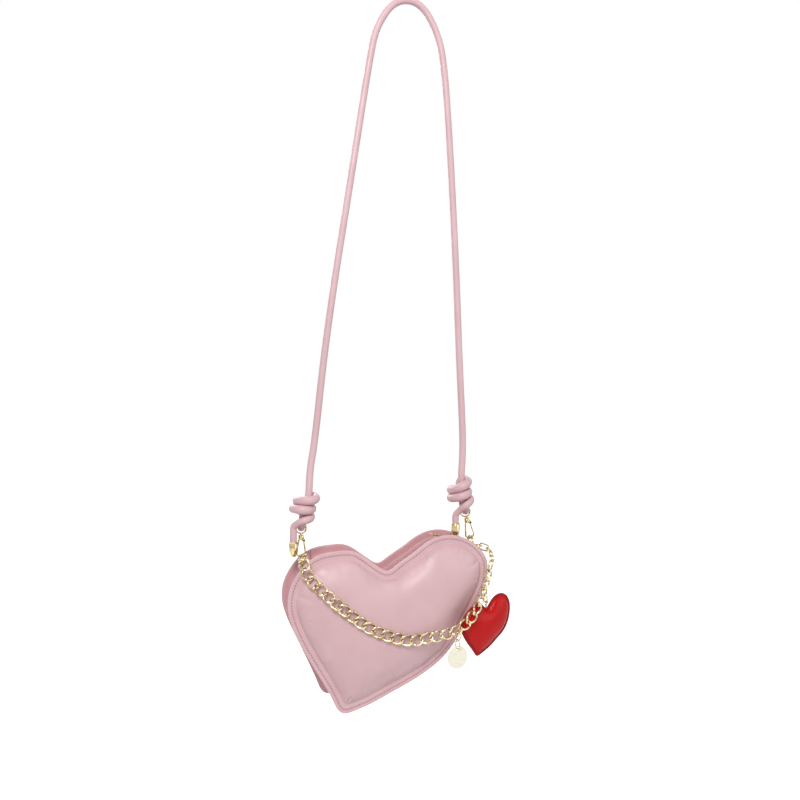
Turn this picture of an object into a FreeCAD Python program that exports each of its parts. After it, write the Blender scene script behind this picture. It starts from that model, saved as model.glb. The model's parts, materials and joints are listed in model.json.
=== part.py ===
import FreeCAD, Part
import math
import os
import Sketcher
from FreeCAD import Placement, Rotation, Vector

# Heart shaped crossbody purse, hanging by its rolled cord strap
# Front faces -Y, +Z is up, and the origin is the underside of the cord where the strap hangs

SIZES = (
    # bag
    ("bag_width", 205.0),
    ("bag_height", 167.0),
    ("bag_left", 125.5),
    ("bag_drop", 540.8),
    ("lobe_radius", 45.5),
    ("depth_top", 36.0),
    ("depth_tip", 57.0),
    ("flange_width", 8.5),
    ("panel_leather", 1.4),
    ("rim_leather", 1.2),
    ("gusset_leather", 1.4),
    ("lining_cloth", 0.8),
    ("dome_rise", 17.0),
    # zip
    ("zip_opening", 10.0),
    ("tape_width", 12.0),
    ("tape_cloth", 0.6),
    ("teeth_width", 2.6),
    ("teeth_rise", 1.4),
    ("teeth_gap", 1.6),
    ("stop_length", 2.4),
    ("slider_length", 9.0),
    ("slider_width", 8.0),
    ("slider_plate", 1.0),
    ("lug_length", 4.4),
    ("lug_width", 1.6),
    ("lug_rise", 4.2),
    ("lug_hole", 2.2),
    ("pull_length", 24.0),
    ("pull_width", 7.0),
    ("pull_plate", 1.2),
    ("pull_window", 5.0),
    ("pull_bar", 1.2),
    # rings on the bag
    ("ring_wire", 2.2),
    ("ring_radius", 7.5),
    ("ring_leg", 3.0),
    ("ring_corner", 2.4),
    ("tab_leather", 1.2),
    ("tab_width", 8.4),
    ("tab_length", 15.0),
    # snap hooks
    ("hook_wire", 2.0),
    ("hook_bend", 4.4),
    ("hook_height", 17.0),
    ("collar_diameter", 5.6),
    ("collar_height", 4.6),
    ("collar_floor", 0.8),
    ("stem_diameter", 2.0),
    ("head_diameter", 3.0),
    ("head_height", 1.0),
    ("eye_wire", 1.8),
    ("eye_radius", 5.2),
    ("gate_wire", 1.6),
    ("gate_eye", 2.6),
    ("pin_diameter", 1.0),
    ("cheek_plate", 0.7),
    # strap
    ("cord_diameter", 7.0),
    ("bight_radius", 5.0),
    ("wrap_gap", 1.5),
    ("wrap_pitch", 7.9),
    ("wrap_height", 11.0),
    ("wrap_lift", 4.0),
    ("tail_turn", 6.5),
    ("tail_left", 27.0),
    ("tail_right", 21.0),
    ("cap_diameter", 8.8),
    ("cap_length", 14.5),
    ("cap_taper", 5.5),
    ("cap_tip", 5.0),
    ("cap_depth", 9.0),
    # chain and charms
    ("link_pitch", 10.0),
    ("link_wire", 1.9),
    ("link_width", 12.0),
    ("jump_wire", 1.6),
    ("jump_length", 8.8),
    ("end_link_length", 13.0),
    ("end_link_width", 8.0),
    ("square_ring_length", 11.0),
    ("square_ring_width", 8.0),
    ("square_ring_corner", 1.6),
    ("small_link_length", 8.0),
    ("small_link_width", 6.0),
    ("small_link_wire", 1.4),
    ("end_ring_length", 15.0),
    ("end_ring_width", 11.0),
    ("end_ring_tip", 7.0),
    ("end_ring_wire", 1.8),
    ("heart_ring_length", 11.0),
    ("heart_ring_wire", 1.4),
    ("eyelet_length", 5.8),
    ("eyelet_wire", 1.1),
    ("eyelet_neck", 2.4),
    ("eyelet_stem", 8.0),
    ("charm_width", 61.0),
    ("charm_height", 60.0),
    ("charm_rise", 5.0),
    ("charm_rim", 3.4),
    ("charm_skin", 0.8),
    ("disc_link_length", 10.0),
    ("disc_link_width", 7.6),
    ("disc_link_wire", 1.2),
    ("disc_diameter", 22.0),
    ("disc_thickness", 1.4),
    ("disc_hole", 3.2),
    ("disc_edge", 1.2),
    # clearances
    ("run_gap", 0.4),
    ("hang_gap", 0.5),
    ("link_play", 1.1),
    ("edge_lift", 4.0),
    ("rest_gap", 0.4),
    ("pin_gap", 0.15),
    ("swivel_gap", 0.25),
    ("overrun", 1.0),
    ("facet_sag", 0.35),
    ("charm_sag", 0.2),
)

doc = FreeCAD.newDocument("HeartPurse")
sheet = doc.addObject("Spreadsheet::Sheet", "Sizes")
for row, (alias, value) in enumerate(SIZES, start=1):
    sheet.set("A%d" % row, alias)
    sheet.set("B%d" % row, str(value))
    sheet.setAlias("B%d" % row, alias)
doc.recompute()

# Outline of the bag as shares of its width and height, with headings in degrees, clockwise from the notch
LOBE_CENTRE_SHARES = (0.794, 0.268)
LOBE_HEADINGS = (38.0, -40.0)
NOTCH_SHARES = (0.496, 0.190, 41.0)
OUTLINE_SHARES = (
    (1.000, 0.190, -90.0),
    (0.886, 0.518, -124.0),
    (0.700, 0.770, -148.0),
    (0.405, 0.942, -156.0),
    (0.288, 0.989, -158.0),
    (0.225, 0.955, 110.0),
    (0.150, 0.775, 121.0),
    (0.040, 0.530, 114.0),
    (0.000, 0.345, 90.0),
    (0.080, 0.130, 46.0),
    (0.290, 0.058, 0.0),
    (0.385, 0.115, -38.0),
    (0.470, 0.193, -40.0),
)
# Rings of a dome: share of the outline's size and share of the dome's rise
DOME_SHARES = ((1.0, 0.0), (0.94, 0.46), (0.78, 0.80), (0.42, 1.0))
DOME_CENTRE_SHARES = (0.505, 0.430)
# Ends of the zip across the bag, and how far down the bag they are looked for
ZIP_SPAN_SHARES = (0.140, 0.870)
ZIP_REACH_SHARE = 0.36
# Axes of the two rings across and down the bag
RING_LEFT_SHARES = (0.0805, 0.133)
RING_RIGHT_SHARES = (0.9460, 0.070)
# Lean of each hook and knot in degrees
HOOK_LEANS = (0.0, -12.0)
KNOT_LEANS = (13.0, -12.0)
# Strap: its bends in millimetres, from the left knot over the hanging point to the right knot
STRAP_ROUTE = (
    (-100.6, -475.0),
    (-95.2, -444.0),
    (-86.8, -365.0),
    (-75.5, -284.0),
    (-62.3, -203.0),
    (-49.5, -122.0),
    (-39.8, -62.0),
    (-33.0, -27.0),
    (-12.5, 3.5),
    (15.0, 3.5),
    (33.6, -28.0),
    (39.8, -62.0),
    (44.2, -120.0),
    (48.9, -200.0),
    (52.9, -280.0),
    (55.9, -362.0),
    (59.9, -440.0),
    (59.4, -466.0),
)
# Slider of the zip: its place on the right lobe's arc, in degrees
SLIDER_ANGLE = 77.0
# Where the chain's left ring sits on the bag's ring, in degrees above its middle
CHAIN_RING_ANGLE = 25.0
# Chain over the front: shares of the bag's width and height, and of the dome's rise
CHAIN_SHARES = (
    (0.095, 0.186, 0.38),
    (0.137, 0.240, 0.70),
    (0.206, 0.322, 0.98),
    (0.276, 0.394, 1.00),
    (0.345, 0.460, 1.02),
    (0.438, 0.520, 1.02),
    (0.510, 0.552, 1.02),
    (0.583, 0.565, 1.02),
    (0.657, 0.556, 1.04),
    (0.728, 0.543, 1.18),
    (0.789, 0.509, 1.46),
    (0.829, 0.471, 1.60),
    (0.866, 0.423, 1.56),
    (0.904, 0.368, 1.30),
    (0.937, 0.317, 0.94),
    (0.964, 0.268, 0.62),
    (0.990, 0.215, 0.30),
    (1.012, 0.150, 0.06),
)
LINK_TWIST = -90.0
# Links that carry the heart and the disc, counted from the left
HEART_LINK = 24
DISC_LINK = 19
# Outline of the heart charm as shares of its width and height, with headings in degrees
CHARM_SHARES = (
    (0.527, 0.213, 62.0),
    (0.804, 0.000, 0.0),
    (1.000, 0.245, -90.0),
    (0.902, 0.595, -125.0),
    (0.650, 0.817, -140.0),
    (0.348, 0.994, -150.0),
    (0.277, 0.950, 118.0),
    (0.098, 0.702, 122.0),
    (0.000, 0.475, 92.0),
    (0.173, 0.193, 38.0),
    (0.339, 0.112, 0.0),
    (0.486, 0.213, -62.0),
)
CHARM_DOME_SHARES = ((1.0, 0.0), (0.86, 0.62), (0.48, 1.0))
CHARM_CENTRE_SHARES = (0.50, 0.47)
CHARM_NOTCH_SHARES = (0.5065, 0.2245)
# Turn of the heart about its hanging line, left side forward, in degrees
CHARM_TURN = 15.0
# Turns of the disc and of its upper link about their hanging line, in degrees
DISC_TURN = 12.0
DISC_LINK_TURN = -22.0
# Part of each run that the arc at a bend of the strap takes up
BEND_SHARE = 0.45


def size(name):
    return float(getattr(sheet, name))


def unit(vector):
    return Vector(vector).normalize()


def feature(label, shape):
    item = doc.addObject("Part::Feature", label)
    item.Shape = shape
    return item


def primitive(kind, name, place=None, **bindings):
    item = doc.addObject(kind, name)
    for prop, text in bindings.items():
        item.setExpression(prop, text)
    if place is not None:
        item.Placement = place
    return item


def boolean(kind, label, base, tool):
    item = doc.addObject(kind, label)
    item.Base = base
    item.Tool = tool
    return item


# Arcs and paths
def arc_edge(start, tangent, end):
    chord = end - start
    along = tangent.dot(chord) / chord.Length
    side = tangent - chord * (tangent.dot(chord) / chord.Length ** 2)
    if side.Length < 1e-6:
        return Part.LineSegment(start, end).toShape()
    half = math.acos(max(-1.0, min(1.0, along)))
    bulge = chord.Length / 2 * math.tan(half / 2)
    middle = (start + end) * 0.5 + side.normalize() * bulge
    return Part.Arc(start, middle, end).toShape()


def biarc(start, tangent, end, end_tangent):
    reach = end - start
    both = reach.dot(tangent + end_tangent)
    spread = 2 * (1 - tangent.dot(end_tangent))
    if spread < 1e-9:
        step = reach.Length ** 2 / (4 * reach.dot(end_tangent))
    else:
        step = (math.sqrt(both ** 2 + spread * reach.Length ** 2) - both) / spread
    middle = (start + end + (tangent - end_tangent) * step) * 0.5
    rest = end - middle
    turn = rest * (2 * rest.dot(end_tangent) / rest.Length ** 2) - end_tangent
    return [arc_edge(start, tangent, middle), arc_edge(middle, turn, end)]


def biarc_edges(nodes, closed=False):
    edges = []
    pairs = list(zip(nodes, nodes[1:]))
    if closed:
        pairs.append((nodes[-1], nodes[0]))
    for (start, tangent), (end, end_tangent) in pairs:
        straight = unit(end - start)
        if (straight - tangent).Length < 1e-6 and (straight - end_tangent).Length < 1e-6:
            edges.append(Part.LineSegment(start, end).toShape())
        else:
            edges += biarc(start, tangent, end, end_tangent)
    return edges


def biarc_wire(nodes, closed=False):
    return Part.Wire(biarc_edges(nodes, closed))


def polygon(centre, tangent, reference, radius, sides):
    """Corners of a regular polygon square to a direction."""
    across = unit(reference - tangent * reference.dot(tangent))
    other = tangent.cross(across)
    corners = []
    for i in range(sides):
        angle = 2 * math.pi * i / sides
        corners.append(centre + across * (radius * math.cos(angle)) + other * (radius * math.sin(angle)))
    return corners


def loop_of(corners):
    return Part.makePolygon(corners + corners[:1])


def tube(wire, start, tangent, reference, diameter, sides):
    profile = loop_of(polygon(start, tangent, reference, diameter / 2, sides))
    return Part.Wire(wire).makePipeShell([profile], True, False)


def facet_solid(rings, closed=False):
    """A solid of flat faces through rings of as many corners each, joined up or capped at its ends."""
    faces = []
    pairs = list(zip(rings, rings[1:]))
    if closed:
        pairs.append((rings[-1], rings[0]))
    else:
        faces += [Part.Face(loop_of(rings[0])), Part.Face(loop_of(rings[-1]))]
    for ring, after in pairs:
        for i in range(len(ring)):
            a, b, c, d = ring[i - 1], ring[i], after[i], after[i - 1]
            off = abs((b - a).cross(c - a).normalize().dot(d - a))
            if off < 1e-6:
                faces.append(Part.Face(loop_of([a, b, c, d])))
            else:
                faces.append(Part.Face(loop_of([a, b, c])))
                faces.append(Part.Face(loop_of([a, c, d])))
    shell = Part.Shell(faces)
    shell.sewShape()
    solid = Part.Solid(shell)
    if solid.Volume < 0:
        solid.reverse()
    return solid


def wire_solid(stations, diameter, sides, closed):
    """A faceted wire through places given with their direction and a side direction."""
    rings = [polygon(centre, tangent, side, diameter / 2, sides) for centre, tangent, side in stations]
    return facet_solid(rings, closed)


def round_bar(radius, height, base, sides=12):
    """An upright faceted bar."""
    up = Vector(0, 0, 1)
    side = Vector(1, 0, 0)
    return facet_solid([polygon(base + up * z, up, side, radius, sides) for z in (0, height)])


def arc_stations(centre, radius, start, end, count):
    """Places on an arc in the XY plane, from one angle to another in degrees."""
    stations = []
    for i in range(count + 1):
        angle = math.radians(start + (end - start) * i / count)
        out = Vector(math.cos(angle), math.sin(angle), 0)
        tangent = Vector(-out.y, out.x, 0)
        stations.append((centre + out * radius, tangent, Vector(0, 0, 1)))
    return stations


def ring_solid(length, width, wire, steps=6, sides=6):
    """A round or oval wire ring along X, flat in XY."""
    radius = (width - wire) / 2
    shift = (length - width) / 2
    stations = arc_stations(Vector(shift, 0, 0), radius, -90, 90, steps)
    far = arc_stations(Vector(-shift, 0, 0), radius, 90, 270, steps)
    stations += far if shift else far[1:-1]
    return wire_solid(stations, wire, sides, True)


def square_ring_solid(length, width, wire, corner, sides=6):
    """A rectangular wire ring along X with rounded corners, flat in XY."""
    half_length = (length - wire) / 2 - corner
    half_width = (width - wire) / 2 - corner
    stations = []
    for x, y, start in ((1, -1, -90), (1, 1, 0), (-1, 1, 90), (-1, -1, 180)):
        stations += arc_stations(Vector(x * half_length, y * half_width, 0), corner, start, start + 90, 2)
    return wire_solid(stations, wire, sides, True)


def tapered_ring_solid(length, width, tip, wire, sides=6):
    """A wire ring along X, wide at +X and narrow at -X, flat in XY."""
    wide = (width - wire) / 2
    narrow = (tip - wire) / 2
    far = (length - wire) / 2 - wide
    near = narrow - (length - wire) / 2
    slope = math.degrees(math.asin((wide - narrow) / (far - near)))
    stations = arc_stations(Vector(far, 0, 0), wide, -90 - slope, 90 + slope, 7)
    stations += arc_stations(Vector(near, 0, 0), narrow, 90 + slope, 270 - slope, 4)
    return wire_solid(stations, wire, sides, True)


def link_solid(length, width, wire, twist, steps=10, sides=5):
    """A closed wire link along X whose two ends are turned apart by the twist."""
    half_length = (length - wire) / 2
    half_width = (width - wire) / 2

    def at(angle):
        beta = math.radians(twist / 2) * math.cos(angle)
        reach = half_width * math.sin(angle)
        side = Vector(0, math.cos(beta), math.sin(beta))
        return Vector(half_length * math.cos(angle), 0, 0) + side * reach, Vector(0, -side.z, side.y)

    stations = []
    step = 2 * math.pi / steps
    for i in range(steps):
        angle = (i + 0.5) * step
        centre, normal = at(angle)
        stations.append((centre, unit(at(angle + step / 8)[0] - at(angle - step / 8)[0]), normal))
    return wire_solid(stations, wire, sides, True)


def turned(shape, x_axis, z_axis, base):
    """The shape with its X and Z set along the given directions, at the given place."""
    y_axis = z_axis.cross(x_axis)
    placed = shape.copy()
    placed.Placement = Placement(base, Rotation(x_axis, y_axis, z_axis, "XZY"))
    return placed


# Named places
width = size("bag_width")
height = size("bag_height")
left_x = -size("bag_left")
top_z = -size("bag_drop")
half_top = size("depth_top") / 2
lean = math.degrees(math.atan2((size("depth_tip") - size("depth_top")) / 2, height))


def bag_point(shares):
    return Vector(left_x + shares[0] * width, 0, top_z - shares[1] * height)


def front_y(z):
    """The back face of the front flange at this height."""
    return -half_top + (z - top_z) * math.tan(math.radians(lean))


def heading(degrees):
    return Vector(math.cos(math.radians(degrees)), 0, math.sin(math.radians(degrees)))


# Outline of the bag and the lines inside it
lobe = bag_point(LOBE_CENTRE_SHARES)
nodes = [(bag_point(NOTCH_SHARES), heading(NOTCH_SHARES[2]))]
for turn in LOBE_HEADINGS:
    nodes.append((lobe + heading(turn + 90) * size("lobe_radius"), heading(turn)))
for x_share, z_share, turn in OUTLINE_SHARES:
    nodes.append((bag_point((x_share, z_share)), heading(turn)))
outline = biarc_wire(nodes, closed=True)


def faceted(wire, sag):
    """Corners of the wire with each arc as the chords that keep this close to it."""
    points = []
    edges = Part.__sortEdges__(wire.Edges)
    for edge in edges:
        count = 1
        if hasattr(edge.Curve, "Radius"):
            count = max(1, math.ceil(edge.Length / (2 * math.sqrt(2 * edge.Curve.Radius * sag))))
        run = edge.discretize(count + 1)
        if edge.Orientation == "Reversed" and (run[0] - edge.firstVertex(True).Point).Length > sag:
            run.reverse()
        points += run[:-1]
    return points


def inset_corners(distance):
    return faceted(outline.makeOffset2D(-distance) if distance else outline, size("facet_sag"))


def inset(distance):
    """The outline moved in by a distance, in chords."""
    return loop_of(inset_corners(distance))


def prism(wire, near, far):
    face = Part.Face(wire)
    solid = face.extrude(Vector(0, far - near, 0))
    solid.translate(Vector(0, near, 0))
    return solid


def ring_prism(outer, inner, near, far):
    return prism(outer, near, far).cut(prism(inner, near - size("overrun"), far + size("overrun")))


def tilt_front(shape):
    """Leans a shape made on the plane of the front panel, whose top edge stays where it is."""
    shape.translate(Vector(0, -half_top, -top_z))
    shape.rotate(Vector(0, -half_top, 0), Vector(1, 0, 0), -lean)
    shape.translate(Vector(0, 0, top_z))
    return shape


def mirrored(label, source):
    item = doc.addObject("Part::Mirroring", label)
    item.Source = source
    item.Normal = Vector(0, 1, 0)
    return item


def dome(corners, centre, shares, rise, depth):
    """A dome that rises towards the front from corners in the plane y=depth."""
    rings = []
    for scale_share, rise_share in shares:
        middle = Vector(centre.x, depth - rise_share * rise, centre.z)
        rings.append([middle + Vector(p.x - centre.x, 0, p.z - centre.z) * scale_share for p in corners])
    return facet_solid(rings)


flange = size("flange_width")
leather = size("panel_leather")
rim = size("rim_leather")
wall = size("gusset_leather")
overrun = size("overrun")
sew_line = inset(flange)
wall_line = inset(flange + wall)

# Panels, stuffing and linings
bag_centre = bag_point(DOME_CENTRE_SHARES)
pad_solid = dome(inset_corners(flange + leather), bag_centre, DOME_SHARES, size("dome_rise"), 0)
outer_dome = dome(inset_corners(flange), bag_centre, DOME_SHARES, size("dome_rise"), -leather)
outer_solid = prism(outline, -leather, 0).fuse(outer_dome)
front_panel = feature("front_panel", tilt_front(outer_solid.cut(pad_solid)))
front_padding = feature("front_padding", tilt_front(pad_solid.copy()))
lining_solid = prism(inset(flange + wall + size("run_gap")), 0, size("lining_cloth"))
front_lining = feature("front_lining", tilt_front(lining_solid))
mirrored("back_panel", front_panel)
mirrored("back_padding", front_padding)
mirrored("back_lining", front_lining)

# Wall between the flanges, with rims turned out along both of them
far_y = size("depth_tip")
front_rim = tilt_front(ring_prism(inset(0), wall_line, 0, rim))
back_rim = front_rim.mirror(Vector(0, 0, 0), Vector(0, 1, 0))
front_space = tilt_front(prism(inset(-overrun), 0, far_y * 2))
between = front_space.common(front_space.mirror(Vector(0, 0, 0), Vector(0, 1, 0)))
wall_solid = ring_prism(sew_line, wall_line, -far_y, far_y).common(between)
zip_left = bag_point((ZIP_SPAN_SHARES[0], 0)).x
zip_right = bag_point((ZIP_SPAN_SHARES[1], 0)).x
zip_floor = bag_point((0, ZIP_REACH_SHARE)).z


def zip_zone(near, far, start=zip_left, end=zip_right):
    """The block over the top of the bag, between the ends of the zip."""
    block = Part.makeBox(end - start, far - near, top_z + overrun - zip_floor)
    block.translate(Vector(start, near, zip_floor))
    return block


shell = wall_solid.fuse([front_rim, back_rim])
feature("gusset", shell.cut(zip_zone(-far_y, far_y)))
half_opening = size("zip_opening") / 2
zip_strip_front = feature("zip_strip_front", shell.common(zip_zone(-far_y, -half_opening)))
mirrored("zip_strip_back", zip_strip_front)
cloth = size("lining_cloth")
lined = tilt_front(prism(inset(-overrun), cloth, far_y * 2))
lined = lined.common(lined.mirror(Vector(0, 0, 0), Vector(0, 1, 0)))
lining_in = flange + wall + size("run_gap")
lining_ring = ring_prism(inset(lining_in), inset(lining_in + cloth), -far_y, far_y).common(lined)
feature("gusset_lining", lining_ring.cut(zip_zone(-far_y, far_y)))

# Zip: tapes under the strips, and two rows of teeth on the tapes' edges
half_gap = size("teeth_gap") / 2
tape_in = flange + wall
tape_out = tape_in + size("tape_cloth")
tape_near = -half_gap - size("tape_width")
tape_ring = ring_prism(inset(tape_in), inset(tape_out), tape_near, -half_gap)
zip_tape_front = feature("zip_tape_front", tape_ring.common(zip_zone(-far_y, far_y)))
mirrored("zip_tape_back", zip_tape_front)
teeth_in = tape_in - size("teeth_rise")
teeth_near = -half_gap - size("teeth_width")
teeth_ring = ring_prism(inset(teeth_in), inset(tape_in), teeth_near, -half_gap)
stop = size("stop_length")
teeth_zone = zip_zone(-far_y, far_y, zip_left + stop, zip_right - stop)
zip_teeth_front = feature("zip_teeth_front", teeth_ring.common(teeth_zone))
mirrored("zip_teeth_back", zip_teeth_front)
stop_ring = ring_prism(inset(teeth_in), inset(tape_in), teeth_near, -teeth_near)
left_stop = stop_ring.common(zip_zone(-far_y, far_y, zip_left, zip_left + stop))
right_stop = stop_ring.common(zip_zone(-far_y, far_y, zip_right - stop, zip_right))
feature("zip_stops", Part.makeCompound([left_stop, right_stop]))

# Slider: two curved plates about the lobe's centre, a post between the rows, and a lug for the pull
teeth_radius = size("lobe_radius") - teeth_in
tape_radius = size("lobe_radius") - tape_out
gap = size("run_gap")
plate = size("slider_plate")
slider_half = size("slider_width") / 2
slider_base = tape_radius - gap - plate
slider_top = teeth_radius + gap + plate


def arc_plate(inner, outer, half_width, length):
    """A plate curved about the origin, its middle on +Z."""
    near = Vector(0, -half_width, 0)
    along = Vector(0, 1, 0)
    ring = Part.makeCylinder(outer, half_width * 2, near, along)
    ring = ring.cut(Part.makeCylinder(inner, half_width * 2, near, along))
    block = Part.makeBox(length, half_width * 2, outer)
    block.translate(Vector(-length / 2, -half_width, 0))
    return ring.common(block)


slider_length = size("slider_length")
lug_length = size("lug_length")
lug_half = size("lug_width") / 2
post_half = half_gap - gap
slider_solid = arc_plate(slider_base, slider_base + plate, slider_half, slider_length)
slider_solid = slider_solid.fuse([
    arc_plate(slider_top - plate, slider_top, slider_half, slider_length),
    arc_plate(slider_base, slider_top, post_half, slider_length / 2),
])
lug = Part.makeBox(lug_length, lug_half * 2, size("lug_rise"))
lug.translate(Vector(-lug_length / 2, -lug_half, slider_top - plate / 2))
lug_centre = slider_top + size("lug_rise") - plate / 2 - size("lug_hole") / 2 - plate
hole = Part.makeCylinder(
    size("lug_hole") / 2, slider_half * 2, Vector(0, -slider_half, lug_centre), Vector(0, 1, 0))
slider_solid = slider_solid.fuse(lug).cut(hole)
slider_place = Placement(lobe, Rotation(Vector(0, 1, 0), 90 - SLIDER_ANGLE))
zip_slider = feature("zip_slider", slider_solid)
zip_slider.Placement = slider_place

# Pull: a tongue with a window whose bar goes through the lug
tab = primitive(
    "Part::Box", "pull_tab",
    Length="Sizes.pull_length - Sizes.pull_width / 2", Width="Sizes.pull_width", Height="Sizes.pull_plate")
tongue_middle = Vector(0, size("pull_width") / 2, 0)
tongue = primitive(
    "Part::Cylinder", "pull_tongue", Placement(tongue_middle, Rotation()),
    Radius="Sizes.pull_width / 2", Height="Sizes.pull_plate")
window_near = size("pull_length") - size("pull_width") / 2 - size("pull_bar") - size("pull_window")
window_corner = Vector(window_near, size("pull_width") / 2 - lug_half - gap, -overrun)
window = primitive(
    "Part::Box", "pull_window", Placement(window_corner, Rotation()),
    Length="Sizes.pull_window", Width="Sizes.lug_width + Sizes.run_gap * 2",
    Height="Sizes.pull_plate + Sizes.overrun * 2")
outer_pull = boolean("Part::Fuse", "pull_outer", tab, tongue)
zip_pull = boolean("Part::Cut", "zip_pull", outer_pull, window)
pull_shift = Vector(
    size("pull_bar") / 2 - size("pull_length") + size("pull_width") / 2, -size("pull_width") / 2,
    lug_centre - size("pull_plate") / 2)
zip_pull.Placement = slider_place.multiply(Placement(pull_shift, Rotation()))

# Rings of the bag, the loops that hold them and the hooks' parts, for both sides
ring_wire = size("ring_wire")
ring_radius = size("ring_radius")
ring_leg = size("ring_leg")
ring_corner = size("ring_corner")


def d_ring_solid():
    """A D ring in the XY plane: an arch about the origin, two legs, and a bar below."""
    side = ring_radius - ring_corner
    stations = arc_stations(Vector(0, 0, 0), ring_radius, 0, 180, 8)
    stations += arc_stations(Vector(-side, -ring_leg, 0), ring_corner, 180, 270, 3)
    stations += arc_stations(Vector(side, -ring_leg, 0), ring_corner, 270, 360, 3)
    return wire_solid(stations, ring_wire, 8, True)


def ring_tab_solid(centre):
    """A leather loop round the ring's bar, its stem, and the strip that is sewn to the wall."""
    half = size("tab_width") / 2
    bar = centre + Vector(0, 0, -ring_leg - ring_corner)
    bore = ring_wire / 2 + size("run_gap")
    skin = size("tab_leather")
    back = Vector(0, 1, 0)
    start = bar - back * half
    sleeve = Part.makeCylinder(bore + skin, half * 2, start, back)
    stem = Part.makeBox(skin * 2, half * 2, size("tab_length"))
    stem.translate(Vector(bar.x - skin, -half, bar.z - size("tab_length")))
    pad = ring_prism(inset(flange - skin), sew_line, -half, half)
    reach = Part.makeCylinder(size("tab_length"), half * 2, start, back)
    hollow = Part.makeCylinder(bore, half * 2 + overrun * 2, start - back * overrun, back)
    inside = prism(sew_line, -half - overrun, half + overrun)
    return sleeve.fuse([stem, pad.common(reach)]).cut(hollow).cut(inside).Solids[0]


hook_wire = size("hook_wire")
hook_bend = size("hook_bend")
hook_height = size("hook_height")
collar_radius = size("collar_diameter") / 2
collar_top = hook_height + size("collar_height")
hang_drop = ring_wire / 2 + hook_wire / 2 + size("hang_gap")
gate_eye = size("gate_eye")
cheek_gap = size("gate_wire") / 2 + size("pin_gap")
pivot = Vector(collar_radius, 0, hook_height - gate_eye / 2)
UP = Vector(0, 0, 1)
BACK = Vector(0, 1, 0)
seat_angle = 25.0
seat_rise = math.radians(seat_angle)
seat = Vector(hook_bend * math.cos(seat_rise), 0, hook_bend * (1 + math.sin(seat_rise)))


def cross_bar(radius, near, far, sides=12):
    """A faceted bar across the hook, about the gate's pivot."""
    return facet_solid([polygon(pivot + BACK * y, BACK, UP, radius, sides) for y in (near, far)])


def hook_body_solid():
    """Collar, side wire and bend, with the gate's two cheeks. The bend's lowest wire is at the origin."""
    top = Vector(-collar_radius + hook_wire / 2, 0, hook_height + hook_wire / 2)
    side = Vector(-hook_bend, 0, hook_bend)
    stations = [(top, unit(side - top), BACK)]
    bend = arc_stations(Vector(0, hook_bend, 0), hook_bend, 180, 360 + seat_angle, 8)
    for centre, tangent, normal in bend:
        stations.append((Vector(centre.x, 0, centre.y), Vector(tangent.x, 0, tangent.y), BACK))
    wire = wire_solid(stations, hook_wire, 6, False)
    body = round_bar(collar_radius, size("collar_height"), UP * hook_height).fuse(wire)
    for side_sign in (-1, 1):
        inner = side_sign * cheek_gap
        cheek = cross_bar(gate_eye / 2, inner, inner + side_sign * size("cheek_plate"))
        arm = Part.makeBox(gate_eye / 2 + collar_radius, size("cheek_plate"), gate_eye / 2 + hook_wire)
        arm.translate(Vector(0, min(inner, inner + side_sign * size("cheek_plate")), pivot.z))
        limit = Part.makeCylinder(gate_eye / 2 + collar_radius, hook_height * 2)
        body = body.fuse([cheek, arm.common(limit)])
    swivel = size("swivel_gap")
    floor = hook_height + size("collar_floor")
    bore = round_bar(size("stem_diameter") / 2 + swivel, collar_top, UP * floor)
    chamber = round_bar(size("head_diameter") / 2 + swivel, size("head_height") + swivel * 2, UP * floor)
    hole = cross_bar(size("pin_diameter") / 2, -gate_eye * 2, gate_eye * 2)
    return body.cut([bore, chamber, hole])


def gate_solid():
    """Gate wire from its eye at the pivot to just short of the bend's end."""
    eye = cross_bar(gate_eye / 2, -size("gate_wire") / 2, size("gate_wire") / 2)
    reach = seat - pivot
    length = reach.Length - size("run_gap")
    along = unit(reach)
    stations = [(pivot, along, BACK), (pivot + along * length, along, BACK)]
    arm = wire_solid(stations, size("gate_wire"), 6, False)
    hole = cross_bar(size("pin_diameter") / 2 + size("pin_gap"), -gate_eye, gate_eye)
    return eye.fuse(arm).cut(hole)


eye_centre = collar_top + size("run_gap") + size("eye_wire") / 2 + size("eye_radius")


def hook_eye_solid():
    """Eye for the cord, with the swivel stem that goes down into the collar, where its head is held."""
    span = size("eye_radius") * 2 + size("eye_wire")
    ring = ring_solid(span, span, size("eye_wire"), 8, 8)
    ring = turned(ring, Vector(1, 0, 0), BACK, UP * eye_centre)
    stem_foot = hook_height + size("collar_floor") + size("swivel_gap")
    stem_top = eye_centre - size("eye_radius")
    stem = round_bar(size("stem_diameter") / 2, stem_top - stem_foot, UP * stem_foot)
    head = round_bar(size("head_diameter") / 2, size("head_height"), UP * stem_foot)
    return ring.fuse([stem, head])


# Cord
cord = size("cord_diameter")
CORD_SIDES = 6
CAP_SIDES = 16


def strap_edges(points):
    """Straight runs with an arc at each bend, as large as the two runs allow."""
    edges = []
    last = points[0]
    for before, here, after in zip(points, points[1:], points[2:]):
        come = here - before
        go = after - here
        cut = BEND_SHARE * min(come.Length, go.Length)
        start = here - unit(come) * cut
        end = here + unit(go) * cut
        edges.append(Part.LineSegment(last, start).toShape())
        edges.append(arc_edge(start, unit(come), end))
        last = end
    edges.append(Part.LineSegment(last, points[-1]).toShape())
    return edges


strap_points = [Vector(x, 0, z) for x, z in STRAP_ROUTE]
strap_start = unit(strap_points[1] - strap_points[0])
strap_end = unit(strap_points[-1] - strap_points[-2])


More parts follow.
